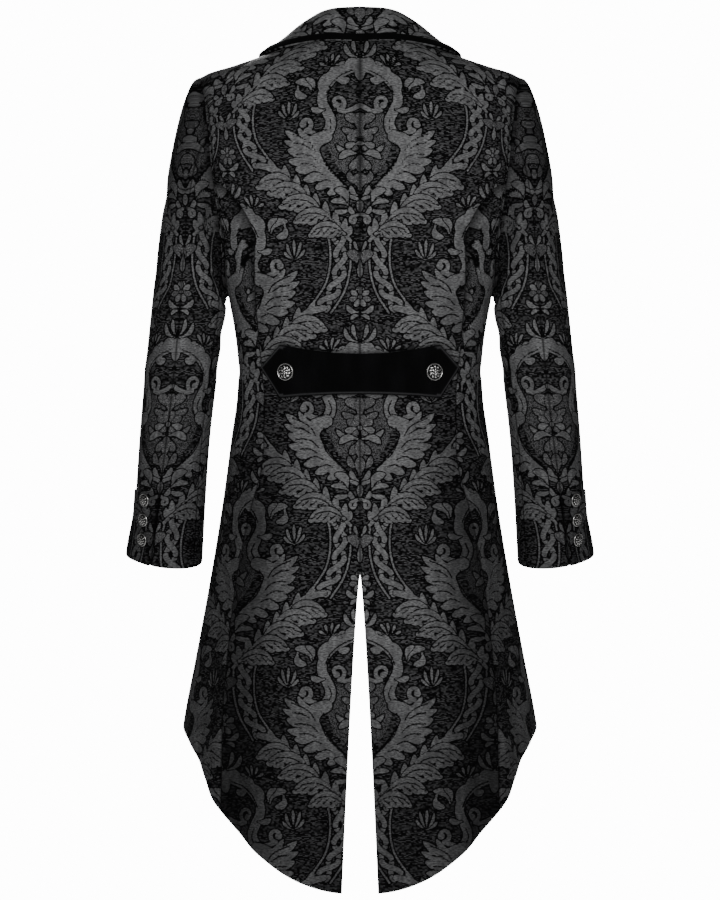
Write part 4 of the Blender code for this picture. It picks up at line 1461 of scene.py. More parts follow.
@dataclass
class Cloth:
    """A thin sheet on the points of a form: its grid, its place in the woven design and its finish."""

    name: str
    points: Array
    design: Array
    wall: float
    edges: Edges
    relief: Array | float = 0.0
    coarse: int = 4
    mirrored: bool = False
    shade: Array | float = 1.0
    values: dict[str, Array] = field(default_factory=dict)
    seam_dip: float = 0.0007
    seam_width: float = 0.0024
    seam_dark: float = 0.80
    seam_line: float = 0.0013
    roll: float = 0.0007
    roll_width: float = 0.0022
    cells: Cells = field(init=False)

    def __post_init__(self) -> None:
        """Notes the grid's size."""
        self.cells = (self.points.shape[0] - 1, self.points.shape[1] - 1)

    def to_side(self, side: int) -> Array:
        """Distance along the cloth to side 0 left, 1 right, 2 top or 3 bottom.

        Args:
            side: Which side.

        Returns:
            The distances.
        """
        axis = side // 2
        step = np.linalg.norm(np.diff(self.points, axis=axis), axis=-1)
        start = np.zeros_like(np.take(step, [0], axis=axis))
        run = np.concatenate([start, np.cumsum(step, axis=axis)], axis=axis)
        return run if side % 2 == 0 else np.take(run, [-1], axis=axis) - run

    def dressed(self) -> tuple[Array, Array, Array]:
        """Works out the finished faces.

        Returns:
            Outer points, inner points and how lit each place is, from 0 in the depth of a seam to 1.
        """
        out = np.zeros(self.points.shape[:2]) + self.relief
        shade = np.ones_like(out) * self.shade
        for side, edge in enumerate(self.edges):
            near = self.to_side(side)
            if edge is Edge.TURNED:
                out = out - self.roll * np.clip(1 - near / self.roll_width, 0.0, 1.0) ** 2
            elif edge is Edge.SEAM:
                out = out - self.seam_dip * np.clip(1 - near / self.seam_width, 0.0, 1.0) ** 1.5
                shade = shade * (1 - self.seam_dark * bell(near, self.seam_line))
        normal = unit(np.cross(np.gradient(self.points, axis=0), np.gradient(self.points, axis=1)))
        outer = self.points + normal * out[..., None]
        return outer, outer - normal * self.wall, shade

    def cut(self) -> tuple[Point, float]:
        """The flat size that the sheet is cut to.

        Returns:
            Its width and length, and its area in square metres.
        """
        round_, down = np.diff(self.points, axis=0)[:, :-1], np.diff(self.points, axis=1)[:-1]
        cell = np.linalg.norm(np.cross(round_, down), axis=-1)
        width = float((cell / np.linalg.norm(down, axis=-1)).sum(axis=0)[1:].max())
        length = float(self.to_side(3)[:, 0].max())
        return (width, length), min(float(cell.sum()), width * length)

    def build(self, finish: Material, lining: Material) -> bpy.types.Object:
        """Makes the piece.

        Args:
            finish: Material of its outer face and rim.
            lining: Material of its inner face.

        Returns:
            The object.
        """
        across, down = self.cells
        shell = bmesh.new()
        for coarse in (1, self.coarse):
            sheet = bmesh.ops.create_grid(
                shell, x_segments=across // coarse, y_segments=down // coarse, size=0.5
            )["verts"]
        bmesh.ops.translate(shell, verts=sheet, vec=(0.0, 0.0, -0.01))
        rim = [edge for edge in shell.edges if edge.is_boundary]
        for edge in rim:
            edge.smooth = False
        bmesh.ops.bridge_loops(shell, edges=rim)
        bmesh.ops.recalc_face_normals(shell, faces=shell.faces)
        for face in shell.faces:
            face.smooth = True
            face.material_index = int(face.normal.z < -0.5)
        if self.mirrored:
            bmesh.ops.reverse_faces(shell, faces=shell.faces)
        mesh = finished(self.name, shell)
        self.lay(mesh)
        mesh.materials.append(finish)
        mesh.materials.append(lining)
        return stand(self.name, mesh)

    def lay(self, mesh: bpy.types.Mesh) -> None:
        """Puts the shell's corners on the form, with the cloth's place and values at each.

        Args:
            mesh: The shell.
        """
        flat = vertices(mesh)
        i, j = (np.rint((flat[:, k] + 0.5) * self.cells[k]).astype(int) for k in (0, 1))
        outer, inner, shade = self.dressed()
        sign = -1.0 if self.mirrored else 1.0
        place = np.where(flat[:, 2:] > -0.005, outer[i, j], inner[i, j]) * np.array([sign, 1.0, 1.0])
        mesh.vertices.foreach_set("co", place.astype(np.float32).ravel())
        for name, values in {**self.values, "shade": shade}.items():
            note(mesh, name, values[i, j])
        corners = np.empty(len(mesh.loops), np.int32)
        mesh.loops.foreach_get("vertex_index", corners)
        spot = self.design[i, j] * np.array([sign, 1.0]) / MM
        mesh.uv_layers.new(name="cloth").data.foreach_set("uv", spot[corners].astype(np.float32).ravel())
        mesh.update()


@dataclass
class Wardrobe:
    """The coat's finishes and loom, and the one way that a piece of it is declared to the frame."""

    loom: Loom
    damask: Material
    lining: Material
    velvet: Material
    metal: Material

    def declare(self, made: bpy.types.Object, node: str) -> None:
        """Hangs a piece from the root, and hides the CAD part that it stands for."""
        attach(made, "root")
        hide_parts(node)

    def sew(self, cloth: Cloth, node: str) -> None:
        """Args:
            cloth: The sheet.
            node: The CAD node that it stands for.
        """
        is_velvet = "piping" in cloth.values
        if not is_velvet:
            cloth.values |= self.loom.read(cloth.design[..., 0], cloth.design[..., 1])
        made = cloth.build(self.velvet if is_velvet else self.damask, self.lining)
        size, area = cloth.cut()
        self.declare(made, node)
        LOG.info("%s: cut %.0f x %.0f mm, %.4f m2", cloth.name, size[0] * MM, size[1] * MM, area)


# ---- torso


@dataclass
class Torso:
    """Back, side and front panels with the lapels, on the body form."""

    body: BodyForm
    wall: float = 0.0020
    rest: float = 0.0006
    trough_depth: float = 0.0028
    trough_shade: float = 0.35
    trough_at: float = 1.10
    trough_width: float = 0.10
    trough_top: Point = (0.075, 0.12)
    belt_shadow_share: float = 0.6
    belt_shadow_width: float = 0.0035
    back_cells: Cells = (108, 720)
    side_cells: Cells = (72, 352)
    front_cells: Cells = (64, 300)
    lapel_cells: Cells = (24, 140)
    lap_round: Point = (0.86, 0.935)
    lapel_top: Point = (0.036, 0.001)
    lapel_foot: float = 0.315
    lapel_setback: float = 0.003
    lapel_width: float = 0.150
    lapel_point: float = 0.004
    lapel_off: float = 0.0016
    seam_axis: float = 300.0
    eye: Point = (5.0, -0.5187)
    pattern_top: float = -0.0043
    shoulder_run: Point = (0.06, 0.16)
    front_run: Point = (0.10, 0.25)
    wrap: Point = (0.120, 0.165)

    def seen_height(self, points: Array) -> Array:
        """Height of points as the photo shows it, at the coat's middle plane."""
        away, level = self.eye
        return level + (points[..., 2] - level) * away / (away - points[..., 1])

    def pattern(self, u: Array, v: Array) -> Array:
        """The place of body points in the woven design.

        Args:
            u: Place round the body.
            v: Drop.

        Returns:
            Millimetres across, from the centre back, and down.
        """
        steps, drops = np.linspace(0.0, 1.03, 160), np.linspace(0.0, 1.12, 113)
        ring = self.body.bare(steps[:, None], drops[None, :])
        dx, dy = np.diff(ring[..., 0], axis=0), np.diff(ring[..., 1], axis=0)
        middle = (ring[1:, :, 0] + ring[:-1, :, 0]) / 2
        weight = np.where(steps[1:, None] < 0.5, ease(middle, *self.wrap), 1.0)
        weight = weight * ease(drops, *self.shoulder_run)[None, :]
        run = np.concatenate([np.zeros((1, len(drops))), np.cumsum(np.hypot(dx, dy * weight), axis=0)])
        i, j = u / steps[1], v / drops[1]
        i0, j0 = np.clip(i.astype(int), 0, len(steps) - 2), np.clip(j.astype(int), 0, len(drops) - 2)
        fi, fj = i - i0, j - j0
        near, far = (run[i0, column] * (1 - fi) + run[i0 + 1, column] * fi for column in (j0, j0 + 1))
        points = self.body.bare(u, v)
        depth = (self.body.bare(0.0 * u, v)[..., 1] - points[..., 1]) * (1 - ease(v, *self.shoulder_run))
        y = self.pattern_top - self.seen_height(points) - depth
        return np.stack([near * (1 - fj) + far * fj, y], -1) * MM

    def armhole_trough(self, u: Array, v: Array) -> Array:
        """How near u, v is to the middle of the soft hollow beside the armhole, from 0 to 1."""
        body = self.body
        off = np.hypot((u - 0.5) / body.armhole_reach, (v - body.armhole_middle) / body.armhole_rise)
        return bell(off - self.trough_at, self.trough_width) * ease(v, *self.trough_top)

    def belt_shadow(self, points: Array, v: Array) -> Array:
        """The painted shadow of the half-belt on the back: how close places are to the edge of the belt over
        them, from 0 to 1.
        """
        half = straight(HALF_BELT, points[..., 0], "half_height", right=-1.0)
        beyond = np.abs(v + straight(HALF_BELT, points[..., 0], "middle")) - half
        return bell(np.maximum(beyond, 0.0), self.belt_shadow_width) * (points[..., 1] > 0)

    def sheet(
        self, name: str, patch: tuple[Array, Array], edges: Edges, mirrored: bool, out: Array | float = 0.0
    ) -> Cloth:
        """A sheet on a patch of the body.

        Args:
            name: Its name.
            patch: u and v of its grid.
            edges: What it does at its left, right, top and bottom.
            mirrored: Whether it is on the wearer's right.
            out: How far it stands off the body.

        Returns:
            The sheet.
        """
        u, v = patch
        trough = self.armhole_trough(u, v)
        relief = crease_relief(BODY_CREASES, u, v, (self.body.half_round, 1.0)) - self.trough_depth * trough
        points = self.body.place(u, v, out)
        # Painted shade in the hollow beside the armhole, times the half-belt's painted shadow.
        shade = (1 - self.trough_shade * trough) * (1 - self.belt_shadow_share * self.belt_shadow(points, v))
        name, design = f"damask_{name}", self.pattern(u, v)
        return Cloth(name, points, design, self.wall, edges, relief, mirrored=mirrored, shade=shade)

    def back(self, side: str, mirrored: bool) -> Cloth:
        """A back panel, from the centre back seam and vent to the armhole and the side-back seam.

        Args:
            side: Left or right.
            mirrored: Whether it is on the wearer's right.

        Returns:
            The cloth.
        """
        body = self.body
        patch = body.patch(self.back_cells, body.centre_back, body.back_outer, lambda s: (0.5 * s, 0.0 * s))
        edges = (Edge.SEAM, Edge.SEAM, Edge.TUCKED, Edge.TURNED)
        made = self.sheet(f"back_{side}", patch, edges, mirrored)
        # Painted shade down the outer tail, at the outer waist and at the hem.
        made.shade = made.shade * lit(BACK_PAINTED_SHADE, grid(self.back_cells)[0], patch[1])
        return made

    def side(self, side: str, mirrored: bool) -> Cloth:
        """A side body, from the side-back seam to the side-front seam, below the armhole.

        Args:
            side: Left or right.
            mirrored: Whether it is on the wearer's right.

        Returns:
            The cloth.
        """
        body = self.body
        start, span = body.side_back_start, body.side_front_start - body.side_back_start
        patch = body.patch(
            self.side_cells, body.side_back, body.side_front, lambda s: body.armhole(start + span * s)
        )
        made = self.sheet(f"side_{side}", patch, HEMMED, mirrored)
        made.design[..., 0] = self.seam_axis - made.design[..., 0]
        # Painted shade down the side body's skirt.
        made.shade = made.shade * lit(SIDE_PAINTED_SHADE, *patch)
        return made

    def stand_off(self, lapped: bool, u: Array) -> Array:
        """How far the upper front passes over the other near the centre."""
        return (self.wall + self.rest) * ease(u, *self.lap_round) * lapped

    def front_pattern(self, u: Array, v: Array) -> Array:
        """The design on the fronts, mirrored on the centre front.

        Args:
            u: Place round the body.
            v: Drop.

        Returns:
            Millimetres across and down.
        """
        design = self.pattern(u, v)
        design[..., 0] = self.pattern(np.ones_like(u), v)[..., 0] - design[..., 0]
        points = self.body.bare(u, v)
        step = np.linalg.norm(np.diff(points, axis=1), axis=-1)
        over = 1 - ease(v[:, 1:], *self.front_run)
        run = np.cumsum(step * over - np.diff(points[..., 2], axis=1) * (1 - over), axis=1)
        design[..., 1] = (np.hstack([np.zeros_like(u[:, :1]), run]) - points[:, :1, 2]) * MM
        return design

    def front(self, side: str, mirrored: bool) -> Cloth:
        """A front, from the side-front seam to the free edge, cut away below the last button.

        Args:
            side: Left or right.
            mirrored: Whether it is on the wearer's right.

        Returns:
            The cloth.
        """
        body = self.body
        span = body.break_start - 0.5
        u, v = body.patch(
            self.front_cells, body.front_outer, body.front_inner, lambda s: (0.5 + span * s, 0.0 * s)
        )
        edges = (Edge.SEAM, Edge.TURNED, Edge.TUCKED, Edge.TURNED)
        made = self.sheet(f"front_{side}", (u, v), edges, mirrored, self.stand_off(not mirrored, u))
        made.design = self.front_pattern(u, v)
        return made

    def lapel(self, side: str, mirrored: bool) -> Cloth:
        """The turned-back upper front, on the panel's own points, moved out.

        Args:
            side: Left or right.
            mirrored: Whether it is on the wearer's right.

        Returns:
            The cloth.
        """
        s, t = grid(self.lapel_cells)
        outer, inner = self.lapel_top
        v_top = outer + (inner - outer) * s
        v = v_top + (self.lapel_foot - v_top) * t
        width = self.lapel_width * (1 - t) ** 0.75 + self.lapel_point
        u = self.body.front_inner(v) - self.lapel_setback - width * (1 - s)
        points = self.body.place(u, v, self.stand_off(not mirrored, u) + self.wall + self.lapel_off)
        design = self.front_pattern(u, v)
        return Cloth(f"damask_lapel_{side}", points, design, self.wall, FREE, mirrored=mirrored)

    def dress(self, wardrobe: Wardrobe) -> None:
        """Builds every panel.

        Args:
            wardrobe: The finishes.
        """
        for side, mirrored in SIDES:
            for name, panel in (("back", self.back), ("side", self.side), ("front", self.front)):
                wardrobe.sew(panel(side, mirrored), f"{name}_{side}")
            wardrobe.sew(self.lapel(side, mirrored), f"lapel_{side}")


# ---- sleeves


@dataclass
class Sleeves:
    """Two-piece sleeves with a vent strip at each cuff."""

    form: SleeveForm
    wall: float = 0.0020
    strip_wall: float = 0.0016
    upper_cells: Cells = (136, 324)
    under_cells: Cells = (44, 440)
    strip_cells: Cells = (44, 64)
    pattern_rise: float = 0.1895
    pattern_start: float = 0.178
    axis_top: Point3 = (0.2314, 0.062, -0.16)
    girth: float = 2.04
    tuck_reach: float = 1.025
    tuck_depth: float = 0.0065
    strip_top: float = 0.862
    strip_setback: float = 1.5
    strip_end: float = 96.0
    strip_flare: float = 0.0060
    strip_shade: float = 0.5
    rest: float = 0.0006
    crease_from: Point = (0.05, 0.2)
    vent_from: float = 0.845
    vent_opens: float = 0.03
    vent_depth: float = 0.0022
    vent_width: float = 0.0026
    vent_dark: float = 0.98
    vent_dark_width: float = 0.0030
    top_dark: float = 0.45
    top_dark_run: float = 0.035
    upper_light: float = 0.52
    lower_light: float = 0.38
    light_run: Point = (0.1, 0.5)
    outer_dark: float = 0.30

    def pattern(self, points: Array, along: Array) -> Array:
        """The place of sleeve points in the woven design, mirrored on the line of the hind seam.

        Args:
            points: Points of the sleeve.
            along: Share of its length.

        Returns:
            Millimetres across and down.
        """
        down = np.linspace(0.30, 1.0, 60)
        line = np.vstack([self.axis_top, self.form.bare(self.form.hind(down), down)])
        near = [np.interp(-points[..., 2], -line[:, 2], line[:, k]) for k in (0, 1)]
        chord = np.hypot(points[..., 0] - near[0], points[..., 1] - near[1])
        girth = self.girth * smooth(SLEEVE, along, "half_depth")
        x = self.pattern_start + girth * np.arcsin(np.clip(chord / girth, 0.0, 1.0))
        return np.stack([x, -points[..., 2] - self.pattern_rise], -1) * MM

    def light(self, angle: Array, along: Array, vent: Array) -> Array:
        """How lit the sleeve is: darker in the vent, near the armhole, on the outer side and at the cuff.

        Args:
            angle: Degrees round the sleeve.
            along: Share of its length.
            vent: How dark the vent is there, from 0 to 1.

        Returns:
            Values from 0 to 1.
        """
        # Painted shade: darker on the outer side, along the upper sleeve, near the armhole, below the elbow
        # and in the vent.
        outer = ease(angle, 40.0, 85.0) * ease(angle, 250.0, 180.0)
        length = self.upper_light + self.lower_light * ease(along, *self.light_run)
        top = 1 - self.top_dark * bell(along, self.top_dark_run)
        whole = top * length * lit(SLEEVE_PAINTED_SHADE, angle, along)
        return whole * (1 - self.vent_dark * vent) * (1 - self.outer_dark * outer)

    def panel(self, name: str, cells: Cells, first: Seam, last: Seam, mirrored: bool) -> Cloth:
        """The part of the sleeve between two of its seams.

        Args:
            name: Its name.
            cells: Columns and rows of cells.
            first: Angle of its first seam at a share of the length.
            last: Angle of its last seam.
            mirrored: Whether it is on the wearer's right.

        Returns:
            The sheet.
        """
        form, body = self.form, self.form.body
        s, along = grid(cells)
        angle = first(along) + (last(along) - first(along)) * s
        off_vent = np.abs(angle - form.hind(along)) * form.per_degree
        opened = ease(along, self.vent_from, self.vent_from + self.vent_opens)
        relief = crease_relief(SLEEVE_CREASES, angle, along, (form.per_degree, form.length))
        valley = self.vent_depth * bell(off_vent, self.vent_width) * opened
        relief = relief * ease(along, *self.crease_from) - valley
        points = form.place(angle, along)
        design = self.pattern(points, along)
        u, v = body.armhole(angle[:, 0])
        middle, reach = body.armhole_middle, self.tuck_reach
        points[:, 0] = body.place(0.5 + (u - 0.5) * reach, middle + (v - middle) * reach, -self.tuck_depth)
        # Painted shade of the sleeve, with a painted shadow in the vent.
        shade = self.light(angle, along, bell(off_vent, self.vent_dark_width) * opened)
        name = f"damask_{name}"
        return Cloth(name, points, design, self.wall, HEMMED, relief, mirrored=mirrored, shade=shade)

    def strip_out(self, angle: Array, along: Array) -> Array:
        """How far the strip's outer face lies off the sleeve."""
        flare = self.strip_flare * ease(along, 0.90, 1.0) * ease(angle, 40.0, 90.0)
        return self.strip_wall + self.rest + flare

    def strip(self, side: str, mirrored: bool) -> Cloth:
        """The vent strip, on the upper sleeve's points, moved out, its free corner flared.

        Args:
            side: Left or right.
            mirrored: Whether it is on the wearer's right.

        Returns:
            The cloth.
        """
        s, along = grid(self.strip_cells, down=(self.strip_top, 1.0))
        start = self.form.hind(along) + self.strip_setback
        angle = start + (self.strip_end - start) * s
        points = self.form.place(angle, along, self.strip_out(angle, along))
        name, design = f"damask_cuff_strip_{side}", self.pattern(points, along)
        return Cloth(name, points, design, self.strip_wall, FREE, mirrored=mirrored, shade=self.strip_shade)

    def dress(self, wardrobe: Wardrobe) -> None:
        """Builds both sleeves.

        Args:
            wardrobe: The finishes.
        """
        form = self.form

        def around(along: Array) -> Array:
            """Angle of the inner seam, a full turn on."""
            return form.inner(along) + 360.0

        for side, mirrored in SIDES:
            for name, cells, first, last in (
                (f"upper_sleeve_{side}", self.upper_cells, form.hind, around),
                (f"under_sleeve_{side}", self.under_cells, form.inner, form.hind),
            ):
                wardrobe.sew(self.panel(name, cells, first, last, mirrored), name)
            wardrobe.sew(self.strip(side, mirrored), f"cuff_strip_{side}")


# ---- collar and half-belt


@dataclass
class Collar:
    """The turned-down collar with a velvet band along its edge."""

    form: CollarForm
    wall: float = 0.0020
    band_wall: float = 0.0016
    rest: float = 0.0006
    cells: Cells = (264, 84)
    band_cells: Cells = (264, 8)
    band_from: float = 0.895
    band_length: float = 0.08
    tuck: float = 0.0060
    length: float = 0.205
    pattern_edge: float = 198.0

    def fall(self) -> Cloth:
        """Stand and fall in one piece.

        Returns:
            The cloth.
        """
        s, t = grid(self.cells, across=(-1.0, 1.0))
        points = self.form.place(s, t)
        points[:, 0, 2] -= self.tuck
        made = Cloth("damask_collar", points, np.zeros((*s.shape, 2)), self.wall, FREE)
        made.design[..., 0] = s * self.length * MM
        made.design[..., 1] = self.pattern_edge - made.to_side(3) * MM
        return made

    def band(self) -> Cloth:
        """The band along the edge of the fall, on the collar's points, moved out.

        Returns:
            The cloth.
        """
        s, t = grid(self.band_cells, across=(-1.0, 1.0), down=(self.band_from, 1.0))
        points = self.form.place(s, t, self.band_wall + self.rest)
        design = np.stack([s * self.length, t * self.band_length], -1) * MM
        plain = {"piping": np.zeros(s.shape)}
        return Cloth("velvet_collar_band", points, design, self.band_wall, FREE, coarse=2, values=plain)

    def dress(self, wardrobe: Wardrobe) -> None:
        """Builds the collar."""
        wardrobe.sew(self.fall(), "collar")
        wardrobe.sew(self.band(), "collar_band")


@dataclass
class HalfBelt:
    """The velvet half-belt at the back waist, pointed at both ends, with a piped edge."""

    body: BodyForm
    wall: float = 0.0026
    rest: float = 0.0015
    cells: Cells = (320, 72)
    piping_in: float = 0.0017
    piping_half: float = 0.0009
    piping_height: float = 0.0006
    piping_ends: Point = (0.094, 0.102)
    roll: float = 0.0016
    roll_width: float = 0.0028
    point_length: float = 0.03
    point_slope: float = 0.58
    point_round: float = 0.001

    def strap(self) -> Cloth:
        """The belt on the back's own form.

        Returns:
            The cloth.
        """
        share, t = grid(self.cells, across=(-1.0, 1.0), down=(1.0, -1.0))
        x = np.sign(share) * np.abs(share) ** 0.9 * HALF_BELT[-1].x
        away = np.abs(x)
        v = -(straight(HALF_BELT, away, "middle") + straight(HALF_BELT, away, "half_height") * t)
        points = self.body.place(self.body.u_of_x(away, v), v, self.wall + self.rest)
        points[..., 0] *= np.where(x < 0, -1.0, 1.0)
        made = Cloth("velvet_half_belt", points, np.stack([x, -v], -1) * MM, self.wall, (Edge.TUCKED,) * 4)
        edge, end = np.minimum(made.to_side(2), made.to_side(3)), HALF_BELT[-1].x - away
        at_point = np.minimum(edge * self.point_slope, end + self.point_round)
        edge = np.where(end < self.point_length, at_point, edge)
        piped = np.maximum(ease(away, *self.piping_ends), t < 0)
        ridge = bell(edge - self.piping_in, self.piping_half) * piped
        roll = self.roll * np.clip(1 - edge / self.roll_width, 0.0, 1.0) ** 2
        made.relief = self.piping_height * ridge - roll
        made.values = {"piping": np.clip(ridge * 1.2, 0.0, 1.0)}
        return made

    def dress(self, wardrobe: Wardrobe) -> None:
        """Builds the belt."""
        wardrobe.sew(self.strap(), "half_belt")


# ---- buttons


@dataclass
class Buttons:
    """Domed metal buttons with rings of swirled petals inside a beaded rim, turned and then chased."""

    body: BodyForm
    sleeves: Sleeves
    belt: HalfBelt
    belt_radius: float = 0.0115
    cuff_radius: float = 0.0088
    front_radius: float = 0.0105
    clearance: float = 0.0004
    front_off: float = 0.0026
    belt_x: float = 0.0955
    belt_drop: float = 0.4165
    cuff_along: tuple[float, ...] = (0.878, 0.916, 0.954)
    cuff_angle: float = 41.0
    front_drops: tuple[float, ...] = (0.352, 0.402, 0.452)
    steps: int = 72
    dome_height: float = 0.19
    dome_edge: float = 0.79
    groove_edge: float = 0.86
    knob: float = 0.12
    bead_count: int = 24
    bead_ring: float = 0.905
    bead_width: float = 0.040
    petal_height: float = 0.075
    bead_height: float = 0.02
    profile: tuple[Point, ...] = (
        (0.0, 0.46), (0.06, 0.459), (0.12, 0.456), (0.18, 0.451), (0.24, 0.444), (0.30, 0.435),
        (0.36, 0.424), (0.42, 0.410), (0.48, 0.394), (0.54, 0.375), (0.60, 0.353), (0.66, 0.328),
        (0.72, 0.298), (0.77, 0.264), (0.80, 0.232), (0.825, 0.206), (0.85, 0.204), (0.875, 0.222),
        (0.905, 0.234), (0.935, 0.230), (0.965, 0.206), (0.99, 0.160), (1.0, 0.115), (0.985, 0.065),
        (0.94, 0.022), (0.84, 0.0), (0.0, 0.0),
    )

    def turned(self, name: str, radius: float) -> bpy.types.Mesh:
        """Turns a button about Z.

        Args:
            name: The mesh's name.
            radius: The button's radius.

        Returns:
            The mesh, with its ornament and its relief attribute.
        """
        lathe = bmesh.new()
        verts = [lathe.verts.new((x * radius, 0.0, z * radius)) for x, z in self.profile]
        line = [*verts, *(lathe.edges.new(pair) for pair in zip(verts, verts[1:]))]
        whole = {"axis": (0, 0, 1), "cent": (0, 0, 0), "angle": 2 * np.pi, "use_merge": True}
        bmesh.ops.spin(lathe, geom=line, steps=self.steps, **whole)
        bmesh.ops.remove_doubles(lathe, verts=lathe.verts, dist=radius * 0.0005)
        bmesh.ops.recalc_face_normals(lathe, faces=lathe.faces)
        for face in lathe.faces:
            face.smooth = True
        mesh = finished(name, lathe)
        self.chase(mesh, radius)
        return mesh

    def chase(self, mesh: bpy.types.Mesh, radius: float) -> None:
        """Raises two rings of swirled petals and a beaded ring on a button's dome.

        Args:
            mesh: The turned button.
            radius: Its radius.
        """
        place = vertices(mesh)
        r = np.hypot(place[:, 0], place[:, 1]) / radius
        angle = np.arctan2(place[:, 1], place[:, 0])
        on_dome = (place[:, 2] > radius * self.dome_height).astype(float)
        inner, outer = (
            np.sqrt(np.abs(np.sin(np.pi * np.clip((r - start) / width, 0, 1))))
            for start, width in ((0.10, 0.36), (0.44, 0.33))
        )
        petals = np.cos(3 * (angle + 1.6 * r)) ** 2 * inner
        leaves = np.sin(5 * (angle - 1.1 * r)) ** 2 * outer
        height = np.maximum(np.maximum(petals, 0.95 * leaves), np.clip(1 - (r / self.knob) ** 2, 0, 1))
        beads = (0.5 + 0.5 * np.cos(self.bead_count * angle)) * bell(r - self.bead_ring, self.bead_width)
        raised = self.petal_height * height * (r < self.dome_edge) + self.bead_height * beads
        place[:, 2] += radius * on_dome * raised
        mesh.vertices.foreach_set("co", place.ravel())
        relief = np.where(r < self.dome_edge, 0.10 + 0.90 * height**1.8, 0.42 + 0.30 * beads)
        relief = np.where((r > self.dome_edge) & (r < self.groove_edge), 0.05, relief)
        note(mesh, "relief", relief * on_dome + 0.6 * (1 - on_dome))
        mesh.update()

    def fasten(
        self, wardrobe: Wardrobe, node: str, radius: float, form: Form, at: Point, out: float, mirrored: bool
    ) -> None:
        """Sets a button down with its flat back off a form and its dome facing outward.

        Args:
            wardrobe: The finishes.
            node: The CAD node that it stands for.
            radius: Its radius.
            form: What it is sewn to.
            at: The place on the form.
            out: How far its back is off the form.
            mirrored: Whether it is on the wearer's right.
        """
        flip = np.array([-1.0 if mirrored else 1.0, 1.0, 1.0])
        base = form.place(*at, out)
        facing = Vector((form.place(*at, out + 0.01) - base) * flip).normalized().to_track_quat("Z", "Y")
        mesh = self.turned(f"metal_{node}", radius)
        mesh.transform(Matrix.Translation(Vector(base * flip)) @ facing.to_matrix().to_4x4())
        mesh.materials.append(wardrobe.metal)
        wardrobe.declare(stand(mesh.name, mesh), node)
        LOG.info("%s: %.1f mm across", mesh.name, 2 * radius * MM)

    def dress(self, wardrobe: Wardrobe) -> None:
        """Builds every button.

        Args:
            wardrobe: The finishes.
        """
        body, sleeves, belt = self.body, self.sleeves, self.belt
        for side, mirrored in SIDES:
            for index, along in enumerate(self.cuff_along, start=1):
                node, at = f"cuff_button_{side}_{index}", (self.cuff_angle, along)
                out = float(sleeves.strip_out(*at)) + self.clearance
                self.fasten(wardrobe, node, self.cuff_radius, sleeves.form, at, out, mirrored)
            node, at = f"belt_button_{side}", (body.u_of_x(self.belt_x, self.belt_drop), self.belt_drop)
            out = belt.wall + belt.rest + self.clearance
            self.fasten(wardrobe, node, self.belt_radius, body, at, out, mirrored)
        out = self.front_off + 2 * self.clearance
        for index, drop in enumerate(self.front_drops, start=1):
            self.fasten(wardrobe, f"front_button_{index}", self.front_radius, body, (1.0, drop), out, False)


# ---- studio


class Lamp(NamedTuple):
    """A soft square lamp: its name, where it stands, where it points, its side and its watts."""

    name: str
    place: Point3
    aim: Point3
    size: float
    power: float


LAMPS = table(
    Lamp,
    ("key", (0.03, 1.6, 0.05), (0.0, 0.0, -0.2), 0.7, 30.0),
    ("fill", (-0.3, 4.6, 1.2), (0.0, 0.0, -0.5), 1.8, 20.0),
    ("front", (0.5, -3.2, 0.9), (0.0, 0.0, -0.5), 1.6, 95.0),
    ("floor wash", (0.0, 0.0, 2.6), (0.0, 0.01, -1.5), 3.0, 260.0),
)


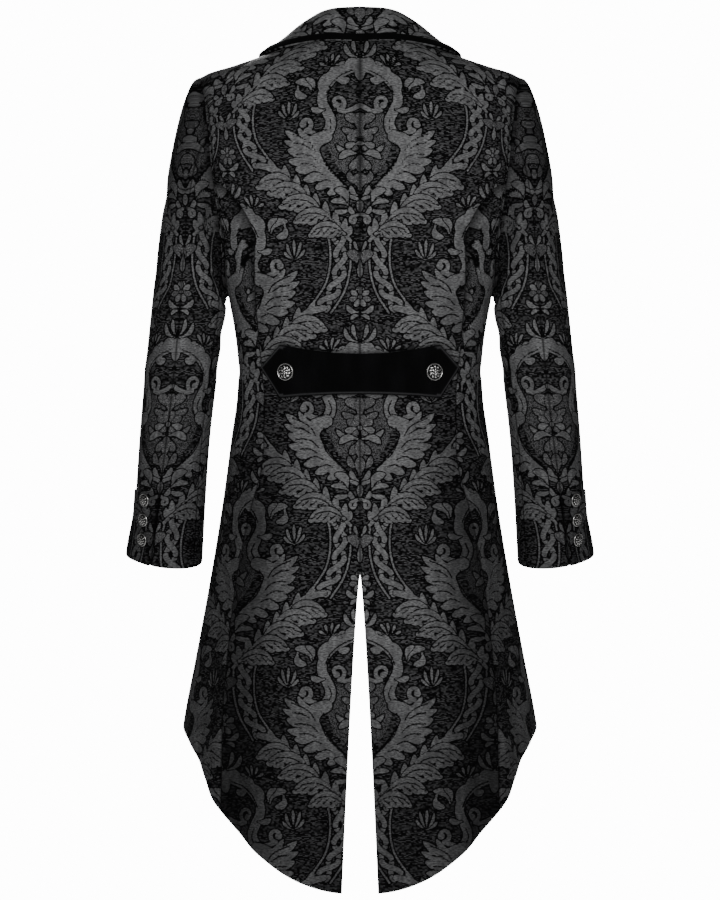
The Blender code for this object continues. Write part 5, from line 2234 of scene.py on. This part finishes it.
@dataclass
class Studio:
    """Camera behind the coat, soft lamps, a pale surround and floor."""

    eye: Point3 = (0.0, 5.0, -0.5187)
    lens: float = 100.25
    sensor: float = 24.0
    sight: Point = (0.05, 50.0)
    floor_level: float = -1.52
    floor_radius: float = 2.2
    surround: float = 0.13
    backdrop: float = 14.0

    def camera(self) -> None:
        """Sets the camera level, straight behind the coat."""
        data = bpy.data.cameras.new("camera")
        data.lens, data.sensor_width, data.sensor_fit = self.lens, self.sensor, "AUTO"
        data.clip_start, data.clip_end = self.sight
        made = stand("camera", data)
        made.location, made.rotation_euler = self.eye, (np.pi / 2, 0.0, np.pi)
        bpy.context.scene.camera = made

    def lamp(self, lamp: Lamp) -> bpy.types.Object:
        """Hangs a lamp.

        Args:
            lamp: Its place and light.

        Returns:
            The lamp.
        """
        data = bpy.data.lights.new(lamp.name, "AREA")
        data.size, data.energy = lamp.size, lamp.power
        made = stand(lamp.name, data)
        made.location = lamp.place
        made.rotation_euler = (Vector(lamp.aim) - Vector(lamp.place)).to_track_quat("-Z", "Y").to_euler()
        made.visible_camera = False
        return made

    def surroundings(self) -> None:
        """Makes a world that lights the coat softly, and looks white to the camera."""
        world = bpy.data.worlds.new("pale surround")
        world.use_nodes = True
        nodes, links = world.node_tree.nodes, world.node_tree.links
        soft, pale = nodes["Background"], nodes.new("ShaderNodeBackground")
        mix = nodes.new("ShaderNodeMixShader")
        links.new(nodes.new("ShaderNodeLightPath").outputs["Is Camera Ray"], mix.inputs[0])
        for slot, (part, strength) in enumerate(((soft, self.surround), (pale, self.backdrop)), start=1):
            part.inputs["Color"].default_value = (1.0, 1.0, 1.0, 1.0)
            part.inputs["Strength"].default_value = strength
            links.new(part.outputs[0], mix.inputs[slot])
        links.new(mix.outputs[0], nodes["World Output"].inputs["Surface"])
        bpy.context.scene.world = world

    def floor(self) -> bpy.types.Object:
        """Lays the floor.

        Returns:
            The floor.
        """
        plate = bmesh.new()
        bmesh.ops.create_circle(plate, cap_ends=True, segments=96, radius=self.floor_radius)
        bmesh.ops.translate(plate, verts=plate.verts, vec=(0.0, 0.0, self.floor_level))
        mesh = finished("floor", plate)
        mesh.materials.append(PaleFloor().make())
        made = stand("floor", mesh)
        return made

    def build(self) -> None:
        """Builds the studio. Its last lamp lights only the floor."""
        self.camera()
        wash = [self.lamp(lamp) for lamp in LAMPS][-1]
        self.surroundings()
        washed = bpy.data.collections.new("floor only")
        washed.objects.link(self.floor())
        wash.light_linking.receiver_collection = washed


def main() -> None:
    """Builds the studio and every piece of the coat."""
    logging.basicConfig(level=logging.INFO, format="%(name)s: %(message)s")
    Studio().build()
    body = BodyForm()
    finishes = (kind().make() for kind in (DamaskFinish, LiningFinish, VelvetFinish, AntiqueMetal))
    wardrobe = Wardrobe(DamaskDesign().weave(), *finishes)
    sleeves, belt = Sleeves(SleeveForm(body)), HalfBelt(body)
    for part in (Torso(body), sleeves, Collar(CollarForm(body)), belt, Buttons(body, sleeves, belt)):
        part.dress(wardrobe)


if __name__ == "__main__":
    main()
